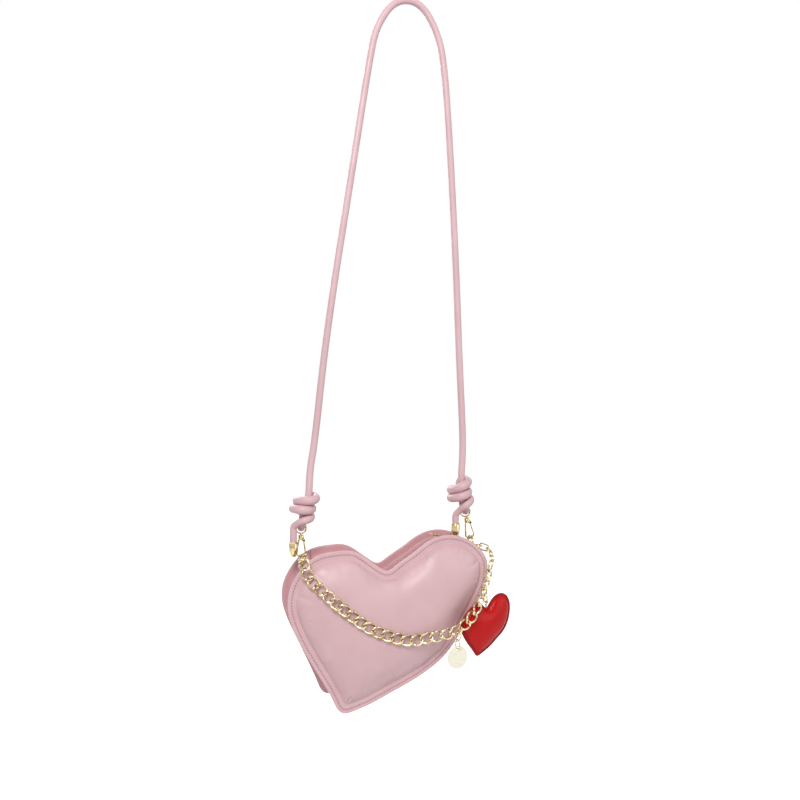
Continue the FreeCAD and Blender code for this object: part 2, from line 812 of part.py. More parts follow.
def knot_route(joint, down, bight, axis, tail_length):
    """Bends of a knot from the strap: round the bight, back up, three wraps and the tail."""
    strand = size("bight_radius")
    reach = cord + size("wrap_gap")
    quarter = math.pi * (strand / 2 + reach) / 2
    lap = 4 * quarter
    slope = size("wrap_pitch") / lap
    lift = size("wrap_lift")
    across = BACK.cross(axis)

    def place(x, y, z):
        return bight + across * x + BACK * y + axis * z

    def direction(x, y, z):
        return unit(across * x + BACK * y + axis * z)

    level = size("wrap_height") + slope * (quarter + 2 * lap)

    def fall(run):
        """Height of the wraps and how steep they are, this far along them."""
        rest = max(0.0, 1 - 2 * run / lap)
        return level - slope * run + lift * rest, -slope - (2 * lift / lap if rest else 0)

    route = [
        (joint, down),
        (place(0, -strand, level + cord / 2), direction(0, 0, -1)),
        (place(0, -strand, strand), direction(0, 0, -1)),
        (place(0, 0, 0), Vector(BACK)),
        (place(0, strand, strand), direction(0, 0, 1)),
        (place(0, strand, level + lift - cord), direction(0, 0, 1)),
    ]
    turns = ((1, 0), (0, -1), (-1, 0), (0, 1))
    run = 0.0
    for stop in range(10):
        x, y = turns[stop % 4]
        z, steep = fall(run)
        route.append((place(x * reach, y * (strand + reach), z), direction(y, -x, steep)))
        run += quarter
    eighth = math.sqrt(0.5)
    z, steep = fall(run - quarter / 2)
    leave = place(-reach * eighth, -(strand + reach) * eighth, z)
    route.append((leave, direction(-eighth, eighth, steep)))
    turn = size("tail_turn")
    drop = leave + (BACK - across) * (turn * eighth) - UP * turn
    route.append((drop, -UP))
    route.append((drop - UP * tail_length, -UP))
    return route


def cap_solid():
    """A tapered cap with its open end at the top and the closed one at the origin."""
    radius = size("cap_diameter") / 2
    facing = Vector(1, 0, 0)
    levels = ((0, size("cap_tip") / 2), (size("cap_taper"), radius), (size("cap_length"), radius))
    outer = facet_solid([polygon(UP * z, UP, facing, r, CAP_SIDES) for z, r in levels])
    bore = (cord / 2 + size("pin_gap")) / math.cos(math.pi / CAP_SIDES)
    floor = size("cap_length") - size("cap_depth")
    ends = [polygon(UP * z, UP, facing, bore, CAP_SIDES) for z in (floor, size("cap_length") + overrun)]
    return outer.cut(facet_solid(ends))


SIDES = (
    (
        "left", RING_LEFT_SHARES, HOOK_LEANS[0], KNOT_LEANS[0],
        strap_points[0], -strap_start, size("tail_left"),
    ),
    (
        "right", RING_RIGHT_SHARES, HOOK_LEANS[1], KNOT_LEANS[1],
        strap_points[-1], strap_end, size("tail_right"),
    ),
)
ring_centres = {}
knots = {}
for name, shares, hook_lean, knot_lean, joint, down, tail_length in SIDES:
    centre = bag_point(shares)
    ring_centres[name] = centre
    d_ring = feature("d_ring_" + name, d_ring_solid())
    d_ring.Placement = Placement(centre, Rotation(BACK, UP, Vector(1, 0, 0), "XZY"))
    feature("ring_tab_" + name, ring_tab_solid(centre))
    hook_place = Placement(
        centre + UP * (ring_radius - hang_drop), Rotation(BACK, hook_lean))
    hook_solids = {"hook_body_": hook_body_solid(), "hook_gate_": gate_solid(), "hook_eye_": hook_eye_solid()}
    for label, solid in hook_solids.items():
        feature(label + name, solid).Placement = hook_place
    half_pin = cheek_gap + size("cheek_plate")
    pin = feature("gate_pin_" + name, cross_bar(size("pin_diameter") / 2, -half_pin, half_pin))
    pin.Placement = hook_place
    axis = Rotation(BACK, hook_lean).multVec(UP)
    knot_axis = Rotation(BACK, knot_lean).multVec(UP)
    eye = hook_place.Base + axis * eye_centre
    bight = eye + axis * (size("eye_radius") - size("eye_wire") / 2 - cord / 2 - size("run_gap"))
    knots[name] = knot_route(joint, down, bight, knot_axis, tail_length)
    cap = feature("cord_cap_" + name, cap_solid())
    cap.Placement = Placement(
        knots[name][-1][0] - UP * (size("cap_length") - size("cap_depth") + size("pin_gap")), Rotation())

# The whole cord is one tube: left tail and knot, the strap, right knot and tail
from_left = [(place, -way) for place, way in reversed(knots["left"])]
cord_path = Part.Wire(biarc_edges(from_left) + strap_edges(strap_points) + biarc_edges(knots["right"]))
tail_end, tail_way = from_left[0]
strap_cord = feature("strap_cord", tube(cord_path, tail_end, tail_way, BACK, cord, CORD_SIDES))
samples = cord_path.discretize(Distance=cord / 4)
apart = int(math.ceil(1.8 * cord / (cord_path.Length / (len(samples) - 1))))
closest = min(
    ((a - b).Length, i, j + i + apart)
    for i, a in enumerate(samples) for j, b in enumerate(samples[i + apart:]))
section = CORD_SIDES / 2 * (cord / 2) ** 2 * math.sin(2 * math.pi / CORD_SIDES)
print("cord length", round(cord_path.Length, 1), "least gap to itself", round(closest[0] - cord, 2))
print("cord volume", round(strap_cord.Shape.Volume), "expected", round(section * cord_path.Length))
for end in ("left", "right"):
    print("knot length", end, round(Part.Wire(biarc_edges(knots[end])).Length, 1))
print("least bend", round(min(e.Curve.Radius for e in cord_path.Edges if hasattr(e.Curve, "Radius")), 2))

# Chain
link_wire = size("link_wire")
link_length = size("link_pitch") + link_wire * 2 + size("link_play")
link_half = (size("link_width") - link_wire) / 2
link = link_solid(link_length, size("link_width"), link_wire, LINK_TWIST)
chain_half = link.BoundBox.ZLength / 2
rest_gap = size("rest_gap")
AHEAD = Vector(0, -1, 0)
ACROSS = Vector(1, 0, 0)


def over_front(shares):
    """A place in front of the bag for the middle of the chain."""
    place = bag_point(shares)
    lift = leather + shares[2] * size("dome_rise") + chain_half + rest_gap
    place.y = front_y(place.z) - lift
    return place


def joined(length, wire, next_length, next_wire):
    """From the middle of a link to the middle of the next one that it threads."""
    return length / 2 + next_length / 2 - wire - next_wire - rest_gap


def square_to(vector, along):
    return unit(vector - along * vector.dot(along))


# Left end: a jump ring on the bag's ring, and the first link over the edge of the flange
jump_length = size("jump_length")
jump_wire = size("jump_wire")
rise_angle = math.radians(CHAIN_RING_ANGLE)
ring_grip = ring_centres["left"] + Vector(0, -math.cos(rise_angle), math.sin(rise_angle)) * ring_radius
edge_out = heading(OUTLINE_SHARES[9][2] + 90)
edge_places = outline.discretize(400)
crossing = min(edge_places, key=lambda p: math.hypot(p.x - ring_grip.x, p.z - ring_grip.z))
crossing.y = front_y(crossing.z) - leather
over_edge = crossing + unit(edge_out + AHEAD) * (chain_half + rest_gap)
jump_axis = unit(over_edge + UP * size("edge_lift") - ring_grip)
jump_middle = ring_grip + jump_axis * (jump_length / 2 - jump_wire - ring_wire / 2 - rest_gap)
jump_ring = ring_solid(jump_length, jump_length, jump_wire)
feature("chain_ring_left", turned(jump_ring, jump_axis, square_to(UP, jump_axis), jump_middle))
first = jump_middle + jump_axis * (joined(jump_length, jump_wire, link_length, link_wire) - rest_gap)
right_grip = ring_centres["right"] + Vector(0, -ring_radius, -ring_leg / 2)
curve = Part.BSplineCurve()
route = [first, over_edge] + [over_front(s) for s in CHAIN_SHARES] + [right_grip]
curve.interpolate(route)


def on_chain(distance):
    """Place, direction and outward side of the chain, this far along it."""
    at = curve.parameterAtDistance(distance, curve.FirstParameter)
    place = curve.value(at)
    along = unit(curve.tangent(at)[0])
    sideways = abs(along.y)
    outward = edge_out if place.x < 0 else ACROSS
    return place, along, square_to(AHEAD * (1 - sideways) + outward * sideways, along)


# Right end, from the bag's ring back to the last twisted link
small_length = size("small_link_length")
small_wire = size("small_link_wire")
end_link = ring_solid(size("end_link_length"), size("end_link_width"), jump_wire)
square_ring = square_ring_solid(
    size("square_ring_length"), size("square_ring_width"), jump_wire, size("square_ring_corner"))
small_link = ring_solid(small_length, size("small_link_width"), small_wire)
end_ring = tapered_ring_solid(
    size("end_ring_length"), size("end_ring_width"), size("end_ring_tip"), size("end_ring_wire"))
END_PIECES = (
    ("chain_end_link", end_link, size("end_link_length"), jump_wire),
    ("chain_square_ring", square_ring, size("square_ring_length"), jump_wire),
    ("", small_link, small_length, small_wire),
    ("", small_link, small_length, small_wire),
    ("", small_link, small_length, small_wire),
    ("chain_end_ring", end_ring, size("end_ring_length"), size("end_ring_wire")),
)
distance = curve.length() - (size("end_link_length") / 2 - jump_wire - ring_wire / 2 - rest_gap)
stops = [distance]
for (label, shape, length, wire), (label, shape, far_length, far_wire) in zip(END_PIECES, END_PIECES[1:]):
    distance -= joined(length, wire, far_length, far_wire)
    stops.append(distance)
last = distance - joined(size("end_ring_length"), size("end_ring_wire"), link_length, link_wire)
count = round(last / size("link_pitch"))
frames = [on_chain(last * i / count) for i in range(count + 1)]
links = [turned(link, along, face, place) for place, along, face in frames]
feature("curb_chain", Part.makeCompound(links))
print("chain length", round(curve.length(), 1), "links", count + 1, "spacing", round(last / count, 2))
end_beta = math.radians(LINK_TWIST / 2)
along, face = frames[-1][1:]
end_wire = face.cross(along) * math.cos(end_beta) + face * math.sin(end_beta)
small_links = []
for step, ((label, shape, length, wire), distance) in enumerate(zip(END_PIECES, stops)):
    place, along, face = on_chain(distance)
    upright = square_to(UP, along)
    sideways = along.cross(upright)
    ending = square_to(end_wire, along)
    off = math.degrees(math.atan2(ending.dot(upright), ending.dot(sideways)))
    off = (off + 90) % 180 - 90
    turn = math.radians(90 * step - off * step / (len(END_PIECES) - 1))
    normal = upright * math.cos(turn) + sideways * math.sin(turn)
    placed = turned(shape, along, normal, place)
    if label:
        feature(label, placed)
    else:
        small_links.append(placed)
feature("chain_small_links", Part.makeCompound(small_links))


def lower_wire(index):
    """Middle of a link's lower side wire, the way out from the link there, and the wire's direction."""
    place, along, face = frames[index]
    out = face.cross(along)
    side = 1
    if out.z > 0:
        out = -out
        side = -1
    slant = side * link_half * math.radians(LINK_TWIST / 2)
    return place + out * link_half, out, unit(along * ((link_length - link_wire) / 2) + face * slant)


# Heart charm: a ring through a link, an eyelet with its pin, and two skins welded round a filling
grip, out, run = lower_wire(HEART_LINK)
hang_length = size("heart_ring_length")
hang_wire = size("heart_ring_wire")
hang_reach = (hang_length - hang_wire) / 2
hang_way = unit(out - UP)
hang_normal = square_to(run, hang_way)
hang_middle = grip + hang_way * (hang_reach - hang_wire / 2 - link_wire / 2 - rest_gap)
hang_ring = ring_solid(hang_length, hang_length, hang_wire, 8)
feature("heart_jump_ring", turned(hang_ring, hang_way, hang_normal, hang_middle))
lowest = hang_middle + square_to(-UP, hang_normal) * hang_reach
eyelet_length = size("eyelet_length")
eyelet_wire = size("eyelet_wire")
eyelet_reach = (eyelet_length - eyelet_wire) / 2
eyelet_middle = lowest - UP * (eyelet_reach - eyelet_wire / 2 - hang_wire / 2 - rest_gap)
eyelet_side = hang_normal.cross(UP)
eyelet_side = unit(unit(eyelet_side) + ACROSS * math.copysign(1, eyelet_side.x))
eyelet_ring = turned(ring_solid(eyelet_length, eyelet_length, eyelet_wire), UP, eyelet_side, eyelet_middle)
stem_top = eyelet_middle - UP * eyelet_reach
pin_length = size("eyelet_stem")
feature("heart_eyelet", eyelet_ring.fuse(Part.makeCylinder(eyelet_wire / 2, pin_length, stem_top, -UP)))
charm_width = size("charm_width")
charm_height = size("charm_height")
notch = stem_top - UP * (eyelet_wire / 2 + size("eyelet_neck"))
notch_across = CHARM_NOTCH_SHARES[0] * charm_width
notch_down = CHARM_NOTCH_SHARES[1] * charm_height
charm_corner = notch - ACROSS * notch_across + UP * notch_down


def charm_point(shares):
    """A place on the charm's middle plane, brought to y=0."""
    place = charm_corner + ACROSS * (shares[0] * charm_width) - UP * (shares[1] * charm_height)
    return Vector(place.x, 0, place.z)


charm_line = biarc_wire([(charm_point(s), heading(s[2])) for s in CHARM_SHARES], closed=True)
charm_middle = charm_point(CHARM_CENTRE_SHARES)
skin = size("charm_skin")


def charm_inset(distance):
    return faceted(charm_line.makeOffset2D(-distance) if distance else charm_line, size("charm_sag"))


weld_in = size("charm_rim")
outer_half = prism(loop_of(charm_inset(0)), -skin, 0).fuse(
    dome(charm_inset(weld_in), charm_middle, CHARM_DOME_SHARES, size("charm_rise"), -skin))
fill_half = dome(charm_inset(weld_in + skin), charm_middle, CHARM_DOME_SHARES, size("charm_rise"), 0)
pin_hole = Part.makeCylinder(
    eyelet_wire / 2 + size("pin_gap"), pin_length + size("pin_gap"), Vector(stem_top.x, 0, stem_top.z), -UP)
front_skin = outer_half.cut(fill_half).cut(pin_hole)
MIDDLE = Vector(0, 0, 0)
filling = fill_half.fuse(fill_half.mirror(MIDDLE, BACK)).cut(pin_hole)
charm_place = Placement(Vector(0, notch.y, 0), Rotation(UP, CHARM_TURN), Vector(notch.x, 0, 0))
back_skin = front_skin.mirror(MIDDLE, BACK)
for label, shape in (("front", front_skin), ("back", back_skin), ("filling", filling)):
    feature("heart_charm_" + label, shape).Placement = charm_place

# Disc on its two links
grip, out, run = lower_wire(DISC_LINK)
disc_link = size("disc_link_length")
disc_wire = size("disc_link_wire")
disc_reach = (disc_link - disc_wire) / 2
upper_normal = Rotation(UP, DISC_LINK_TURN).multVec(square_to(run, UP))
upper_middle = grip - UP * (disc_reach - disc_wire / 2 - link_wire / 2 - rest_gap)
lower_middle = upper_middle - UP * joined(disc_link, disc_wire, disc_link, disc_wire)
loop = ring_solid(disc_link, size("disc_link_width"), disc_wire)
upper_loop = turned(loop, UP, upper_normal, upper_middle)
lower_loop = turned(loop, UP, UP.cross(upper_normal), lower_middle)
feature("disc_links", Part.makeCompound([upper_loop, lower_loop]))
hole_middle = lower_middle - UP * disc_reach
disc_body = doc.addObject("PartDesign::Body", "charm_disc")
disc_plane = next(f for f in disc_body.Origin.OriginFeatures if f.Role == "XZ_Plane")
disc_sketch = disc_body.newObject("Sketcher::SketchObject", "disc_outline")
disc_sketch.AttachmentSupport = (disc_plane, [""])
disc_sketch.MapMode = "FlatFace"
disc_radius = size("disc_diameter") / 2
hole_radius = size("disc_hole") / 2
hole_drop = disc_radius - hole_radius - size("disc_edge")
disc_sketch.addGeometry(Part.Circle(Vector(0, 0, 0), Vector(0, 0, 1), disc_radius))
disc_sketch.addGeometry(Part.Circle(Vector(0, hole_drop, 0), Vector(0, 0, 1), hole_radius))
disc_sketch.addConstraint(Sketcher.Constraint("Coincident", 0, 3, -1, 1))
disc_sketch.addConstraint(Sketcher.Constraint("Radius", 0, disc_radius))
disc_sketch.addConstraint(Sketcher.Constraint("Radius", 1, hole_radius))
disc_sketch.addConstraint(Sketcher.Constraint("PointOnObject", 1, 3, -2))
disc_sketch.addConstraint(Sketcher.Constraint("DistanceY", -1, 1, 1, 3, hole_drop))
disc_sketch.setExpression("Constraints[1]", "Sizes.disc_diameter / 2")
disc_sketch.setExpression("Constraints[2]", "Sizes.disc_hole / 2")
disc_sketch.setExpression(
    "Constraints[4]", "Sizes.disc_diameter / 2 - Sizes.disc_hole / 2 - Sizes.disc_edge")
disc_pad = disc_body.newObject("PartDesign::Pad", "disc_pad")
disc_pad.Profile = disc_sketch
disc_pad.Midplane = True
disc_pad.setExpression("Length", "Sizes.disc_thickness")
disc_body.Placement = Placement(hole_middle - UP * hole_drop, Rotation(UP, DISC_TURN))

doc.recompute()

NODES = [
    "front_panel", "front_padding", "front_lining", "back_panel", "back_padding", "back_lining",
    "gusset", "zip_strip_front", "zip_strip_back", "zip_tape_front", "zip_tape_back",
    "zip_teeth_front", "zip_teeth_back", "zip_stops", "gusset_lining", "zip_slider", "zip_pull",
    "strap_cord", "chain_ring_left", "curb_chain", "chain_end_ring", "chain_small_links",
    "chain_square_ring", "chain_end_link",
    "heart_jump_ring", "heart_eyelet", "heart_charm_front", "heart_charm_back", "heart_charm_filling",
    "disc_links", "charm_disc",
]
for name in ("left", "right"):
    for label in ("d_ring_", "ring_tab_", "hook_body_", "hook_gate_", "hook_eye_", "gate_pin_"):
        NODES.append(label + name)
    NODES.append("cord_cap_" + name)

for item in doc.Objects:
    if "Invalid" in item.State or "Error" in item.State:
        raise RuntimeError("failed: " + item.Label)
os.makedirs("parts", exist_ok=True)
for node in NODES:
    shape = doc.getObject(node).Shape
    if shape.isNull() or not shape.isValid():
        raise RuntimeError("bad shape: " + node)
    print(node, len(shape.Solids), round(shape.Volume, 1))
    shape.exportStep("parts/%s.step" % node)
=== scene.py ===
import json
import math

import bmesh
import bpy
import numpy as np
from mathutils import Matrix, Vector
from mathutils.geometry import delaunay_2d_cdt

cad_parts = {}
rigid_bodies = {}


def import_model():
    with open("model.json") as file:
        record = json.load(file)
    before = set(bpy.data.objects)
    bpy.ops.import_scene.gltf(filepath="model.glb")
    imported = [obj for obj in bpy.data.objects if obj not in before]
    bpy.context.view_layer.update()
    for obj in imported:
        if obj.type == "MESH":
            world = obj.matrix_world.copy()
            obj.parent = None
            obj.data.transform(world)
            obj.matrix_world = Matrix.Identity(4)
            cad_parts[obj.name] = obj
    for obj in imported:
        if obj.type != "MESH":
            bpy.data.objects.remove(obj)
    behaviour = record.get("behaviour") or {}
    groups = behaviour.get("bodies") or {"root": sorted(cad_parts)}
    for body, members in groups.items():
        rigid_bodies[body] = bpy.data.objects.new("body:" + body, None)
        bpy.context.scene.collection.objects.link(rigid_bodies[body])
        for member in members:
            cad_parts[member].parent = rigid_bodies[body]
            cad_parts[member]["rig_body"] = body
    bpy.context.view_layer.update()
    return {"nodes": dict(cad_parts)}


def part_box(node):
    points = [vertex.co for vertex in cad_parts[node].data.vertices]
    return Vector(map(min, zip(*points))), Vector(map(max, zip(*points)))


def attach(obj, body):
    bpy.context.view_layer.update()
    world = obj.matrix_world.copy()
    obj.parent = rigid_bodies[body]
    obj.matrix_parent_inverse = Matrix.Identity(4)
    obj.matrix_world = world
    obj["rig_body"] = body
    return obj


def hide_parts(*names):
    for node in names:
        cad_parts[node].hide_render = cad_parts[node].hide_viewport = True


# Looks of the heart shaped crossbody purse
# Lengths in the code are millimetres until a mesh is made

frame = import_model()
MM = 0.001
scene = bpy.context.scene
scene.view_settings.view_transform = "Standard"

# Camera at the photograph's place: level, turned to the right
camera_data = bpy.data.cameras.new("camera")
camera_data.sensor_width = 36.0
camera_data.lens = 36.0
camera = bpy.data.objects.new("camera", camera_data)
camera.location = (-0.22544, -0.78428, -0.40392)
camera.rotation_euler = (math.radians(90.0), 0.0, math.radians(-15.5))
scene.collection.objects.link(camera)
scene.camera = camera


# Materials
def srgb(red, green, blue):
    """A colour of 0 to 255 for a shader."""
    shares = [value / 255 for value in (red, green, blue)]
    return [s / 12.92 if s <= 0.04045 else ((s + 0.055) / 1.055) ** 2.4 for s in shares] + [1.0]


def set_inputs(node, values):
    """Sets a node's inputs by their names, with _ for a space."""
    for key, value in values.items():
        node.inputs[key.replace("_", " ")].default_value = value
    return node


def add_node(tree, kind, **values):
    """A new node with some of its inputs set."""
    return set_inputs(tree.nodes.new("ShaderNode" + kind), values)


def texture(tree, kind, **values):
    """A texture in the object's own coordinates, where scales are in turns per metre."""
    node = add_node(tree, "Tex" + kind, **values)
    tree.links.new(add_node(tree, "TexCoord").outputs["Object"], node.inputs["Vector"])
    return node


def noise(tree, scale, detail=3.0):
    """Cloudy noise."""
    return texture(tree, "Noise", Scale=scale, Detail=detail, Roughness=0.55).outputs["Fac"]


def spread(tree, source, low, high, start=0.3, end=0.7):
    """A value brought from one range to another."""
    node = add_node(tree, "MapRange", From_Min=start, From_Max=end, To_Min=low, To_Max=high)
    tree.links.new(source, node.inputs["Value"])
    return node.outputs["Result"]


def colours(tree, source, dark, light, start=0.3, end=0.7):
    """Two colours of 0 to 255 blended along a value."""
    ramp = add_node(tree, "ValToRGB")
    for element, place, colour in zip(ramp.color_ramp.elements, (start, end), (dark, light)):
        element.position = place
        element.color = srgb(*colour)
    tree.links.new(source, ramp.inputs["Fac"])
    return ramp.outputs["Color"]


def mixed(tree, kind, first, second):
    """A mix of two values or colours, half and half unless its factor is set."""
    node = add_node(tree, "Mix")
    node.data_type = kind
    tree.links.new(first, node.inputs["A"])
    tree.links.new(second, node.inputs["B"])
    return node


def bump(tree, shader, source, depth, strength):
    """Fine relief of a depth in millimetres."""
    node = add_node(tree, "Bump", Strength=strength, Distance=depth * MM)
    tree.links.new(source, node.inputs["Height"])
    tree.links.new(node.outputs["Normal"], shader.inputs["Normal"])


def new_material(name, **values):
    """A material with its tree and its shader, some of whose inputs are set."""
    made = bpy.data.materials.new(name)
    made.use_nodes = True
    return made, made.node_tree, set_inputs(made.node_tree.nodes["Principled BSDF"], values)


def paint(tree, shader, tone, roughness):
    """Gives a shader its colour and its roughness."""
    tree.links.new(tone, shader.inputs["Base Color"])
    tree.links.new(roughness, shader.inputs["Roughness"])


def leather(name, dark, light, grain=1400.0, depth=0.05, low=0.36, high=0.48):
    """Smooth coated leather: fine pebbles, faint blotches and a soft shine."""
    made, tree, shader = new_material(name, Specular_IOR_Level=0.42)
    blotches = noise(tree, 26.0)
    wear = noise(tree, 90.0)
    paint(tree, shader, colours(tree, blotches, dark, light), spread(tree, wear, low, high))
    cells = texture(tree, "Voronoi", Scale=grain).outputs["Distance"]
    pebbles = mixed(tree, "FLOAT", cells, noise(tree, grain * 0.6))
    pebbles.inputs["Factor"].default_value = 0.45
    bump(tree, shader, pebbles.outputs["Result"], depth, 0.55)
    return made


def metal(name, dark, light, low=0.14, high=0.26):
    """Polished plated metal with faint wear; its colour is random blotches of painted dark reflection
    and painted highlight.
    """
    made, tree, shader = new_material(name, Metallic=1.0)
    # Colour in random blotches between dark and light: painted dark reflections and painted highlights
    reflection_blotches = noise(tree, 420.0, 4.0)
    wear = noise(tree, 900.0)
    paint(tree, shader, colours(tree, reflection_blotches, dark, light, 0.32, 0.62), spread(tree, wear, low, high))
    bump(tree, shader, noise(tree, 1500.0), 0.02, 0.35)
    return made


def cloth(name, dark, light, threads):
    """Plain woven cloth."""
    made, tree, shader = new_material(name, Specular_IOR_Level=0.2, Sheen_Weight=0.25)
    bands = []
    for axis in ("X", "Z"):
        node = texture(tree, "Wave", Scale=threads, Distortion=0.4)
        node.bands_direction = axis
        bands.append(node.outputs["Fac"])
    weave = mixed(tree, "FLOAT", *bands).outputs["Result"]
    fuzz = noise(tree, 300.0)
    paint(tree, shader, colours(tree, weave, dark, light, 0.2, 0.8), spread(tree, fuzz, 0.75, 0.9))
    bump(tree, shader, weave, 0.1, 0.6)
    return made


PINK = leather("pink_leather", (212, 175, 179), (220, 184, 188))
# A darker copy of the pink leather: painted shade of the recessed wall, also used on the zip strips and
# ring tabs
PINK_WALL_SHADED = leather("pink_wall_leather_painted_shade", (200, 154, 158), (208, 163, 167))
# Edge paint, made lighter than the pink leather as a painted highlight where the edges catch light
PINK_EDGE_HIGHLIGHT = leather("pink_edge_paint_and_highlight", (216, 177, 182), (224, 187, 192), 700.0, 0.08, 0.4, 0.5)
PINK_CORD = leather("pink_cord_leather", (212, 175, 180), (220, 185, 190), 1100.0, 0.07)
THREAD = cloth("pink_thread", (166, 124, 130), (196, 154, 160), 1600.0)
LINING = cloth("lining_cloth", (188, 150, 156), (206, 170, 176), 700.0)
TAPE = cloth("zip_tape_cloth", (204, 160, 170), (220, 180, 189), 1100.0)
# The dark and light colours of the gold and the chain are painted dark reflections and painted
# highlights
GOLD = metal("gold_metal", (146, 124, 80), (222, 206, 164))
CHAIN = metal("gold_chain", (134, 110, 64), (234, 219, 178), 0.12, 0.24)


def red_gloss():
    """Patent leather: deep red under a clear coat, darker along the pressed rim."""
    made, tree, shader = new_material(
        "red_gloss", Coat_Weight=0.1, Coat_Roughness=0.06, Specular_IOR_Level=0.14)
    tone = colours(tree, noise(tree, 45.0), (186, 5, 7), (198, 8, 10))
    rim_tone = colours(tree, noise(tree, 60.0), (142, 4, 8), (160, 6, 10))
    at_rim = add_node(tree, "Attribute")
    at_rim.attribute_name = "rim"
    mix = mixed(tree, "RGBA", tone, rim_tone)
    tree.links.new(at_rim.outputs["Fac"], mix.inputs["Factor"])
    smears = noise(tree, 150.0)
    paint(tree, shader, mix.outputs["Result"], spread(tree, smears, 0.26, 0.36))
    bump(tree, shader, noise(tree, 220.0), 0.02, 0.3)
    return made


def cream_enamel():
    """Pale cream disc with faint marbling."""
    made, tree, shader = new_material("cream_disc", Specular_IOR_Level=0.5)
    marbling = colours(tree, noise(tree, 130.0), (249, 243, 222), (252, 247, 228))
    smears = noise(tree, 260.0)
    paint(tree, shader, marbling, spread(tree, smears, 0.24, 0.36))
    bump(tree, shader, noise(tree, 500.0), 0.02, 0.3)
    return made


RED = red_gloss()
CREAM = cream_enamel()


# Pieces
def settle(name, mesh, material, slot, *nodes):
    """A smooth piece on the body of the nodes it stands for, or on the bag if it stands for none."""
    mesh.materials.append(material)
    mesh.polygons.foreach_set("use_smooth", [True] * len(mesh.polygons))
    piece = bpy.data.objects.new(name, mesh)
    scene.collection.objects.link(piece)
    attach(piece, frame["nodes"][nodes[0]]["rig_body"] if nodes else "bag")
    if nodes:
        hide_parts(*nodes)
    return piece


def new_piece(name, form, material, slot, *nodes):
    """A piece from a form in millimetres."""
    mesh = bpy.data.meshes.new(name)
    mesh.from_pydata([tuple(p) for p in np.asarray(form.points, float) * MM], [], form.faces)
    work = bmesh.new()
    work.from_mesh(mesh)
    bmesh.ops.recalc_face_normals(work, faces=work.faces)
    work.to_mesh(mesh)
    work.free()
    return settle(name, mesh, material, slot, *nodes)


def modify(piece, kind, **values):
    """Adds a modifier with its settings."""
    modifier = piece.modifiers.new(kind.lower(), kind)
    for key, value in values.items():
        setattr(modifier, key, value)


def subdivide(piece, levels):
    """Rounds a piece by subdivision."""
    modify(piece, "SUBSURF", levels=levels, render_levels=levels)


# A direction that no wire or turned form here follows
ASKEW = (0.31, 0.83, 0.47)
# Height and width of the crown on a wire's end, as shares of its radius
CROWN_RISE, CROWN_WIDTH = 0.55, 0.62


class Form:
    """Points and faces of a piece that is put together from simple runs."""

    def __init__(self):
        self.points = []
        self.faces = []

    def net(self, points, faces):
        """Adds points and faces, and gives the number of the first point."""
        start = len(self.points)
        self.points += [tuple(p) for p in points]
        self.faces += [tuple(start + i for i in face) for face in faces]
        return start

    def bridge(self, near, far, count):
        """Joins two closed rows of as many points each."""
        for i in range(count):
            j = (i + 1) % count
            self.faces.append((near + i, near + j, far + j, far + i))

    def rings(self, rings, closed=False, caps=True):
        """Joins rings of as many points each, in a row or round."""
        count = len(rings[0])
        starts = [self.net(ring, []) for ring in rings]
        for near, far in zip(starts, starts[1:] + starts[:1] if closed else starts[1:]):
            self.bridge(near, far, count)
        if caps and not closed:
            self.faces.append(tuple(range(starts[0], starts[0] + count))[::-1])
            self.faces.append(tuple(range(starts[-1], starts[-1] + count)))

    def tube(self, points, radius, sides=12, closed=False):
        """A round wire through points, its open ends rounded."""
        line = np.asarray(points, float)
        if closed:
            ways = np.roll(line, -1, 0) - np.roll(line, 1, 0)
        else:
            ways = np.gradient(line, axis=0)
        ways = unit_rows(ways)
        side = np.cross(ways[0], ASKEW)
        rings = []
        for place, way in zip(line, ways):
            side = side - way * (side @ way)
            side /= np.linalg.norm(side)
            rings.append(place + radius * circle(way, side, sides))
        if not closed:
            for end, way in ((0, -ways[0]), (-1, ways[-1])):
                crown = line[end] + way * radius * CROWN_RISE + (rings[end] - line[end]) * CROWN_WIDTH
                rings.insert(0 if end == 0 else len(rings), crown)
        self.rings(rings, closed)

    def lathe(self, profile, base, axis, sides=32):
        """A turned form: pairs of radius and height along an axis."""
        way = np.asarray(axis, float)
        way = way / np.linalg.norm(way)
        side = np.cross(way, ASKEW)
        around = circle(way, side / np.linalg.norm(side), sides)
        self.rings([np.asarray(base) + way * height + around * radius for radius, height in profile])


def circle(way, side, sides):
    """Directions round a way, from a side on."""
    turn = np.arange(sides) * 2 * math.pi / sides
    return np.outer(np.cos(turn), side) + np.outer(np.sin(turn), np.cross(way, side))


def unit_rows(rows):
    """Directions of length one."""
    return rows / np.linalg.norm(rows, axis=1)[:, None]


def run_lengths(line):
    """Distances along a line of places, from its first."""
    return np.concatenate([[0], np.cumsum(np.linalg.norm(np.diff(line, axis=0), axis=1))])


def at_length(rows, along, distance):
    """The place in rows at a distance along them."""
    return np.array([np.interp(distance, along, rows[:, k]) for k in range(3)])


def rounded_bar(radius, low, high, edge):
    """Profile of a bar with eased ends."""
    lip = edge * 0.3
    return [
        (radius - edge, low), (radius - lip, low + lip), (radius, low + edge),
        (radius, high - edge), (radius - lip, high - lip), (radius - edge, high),
    ]


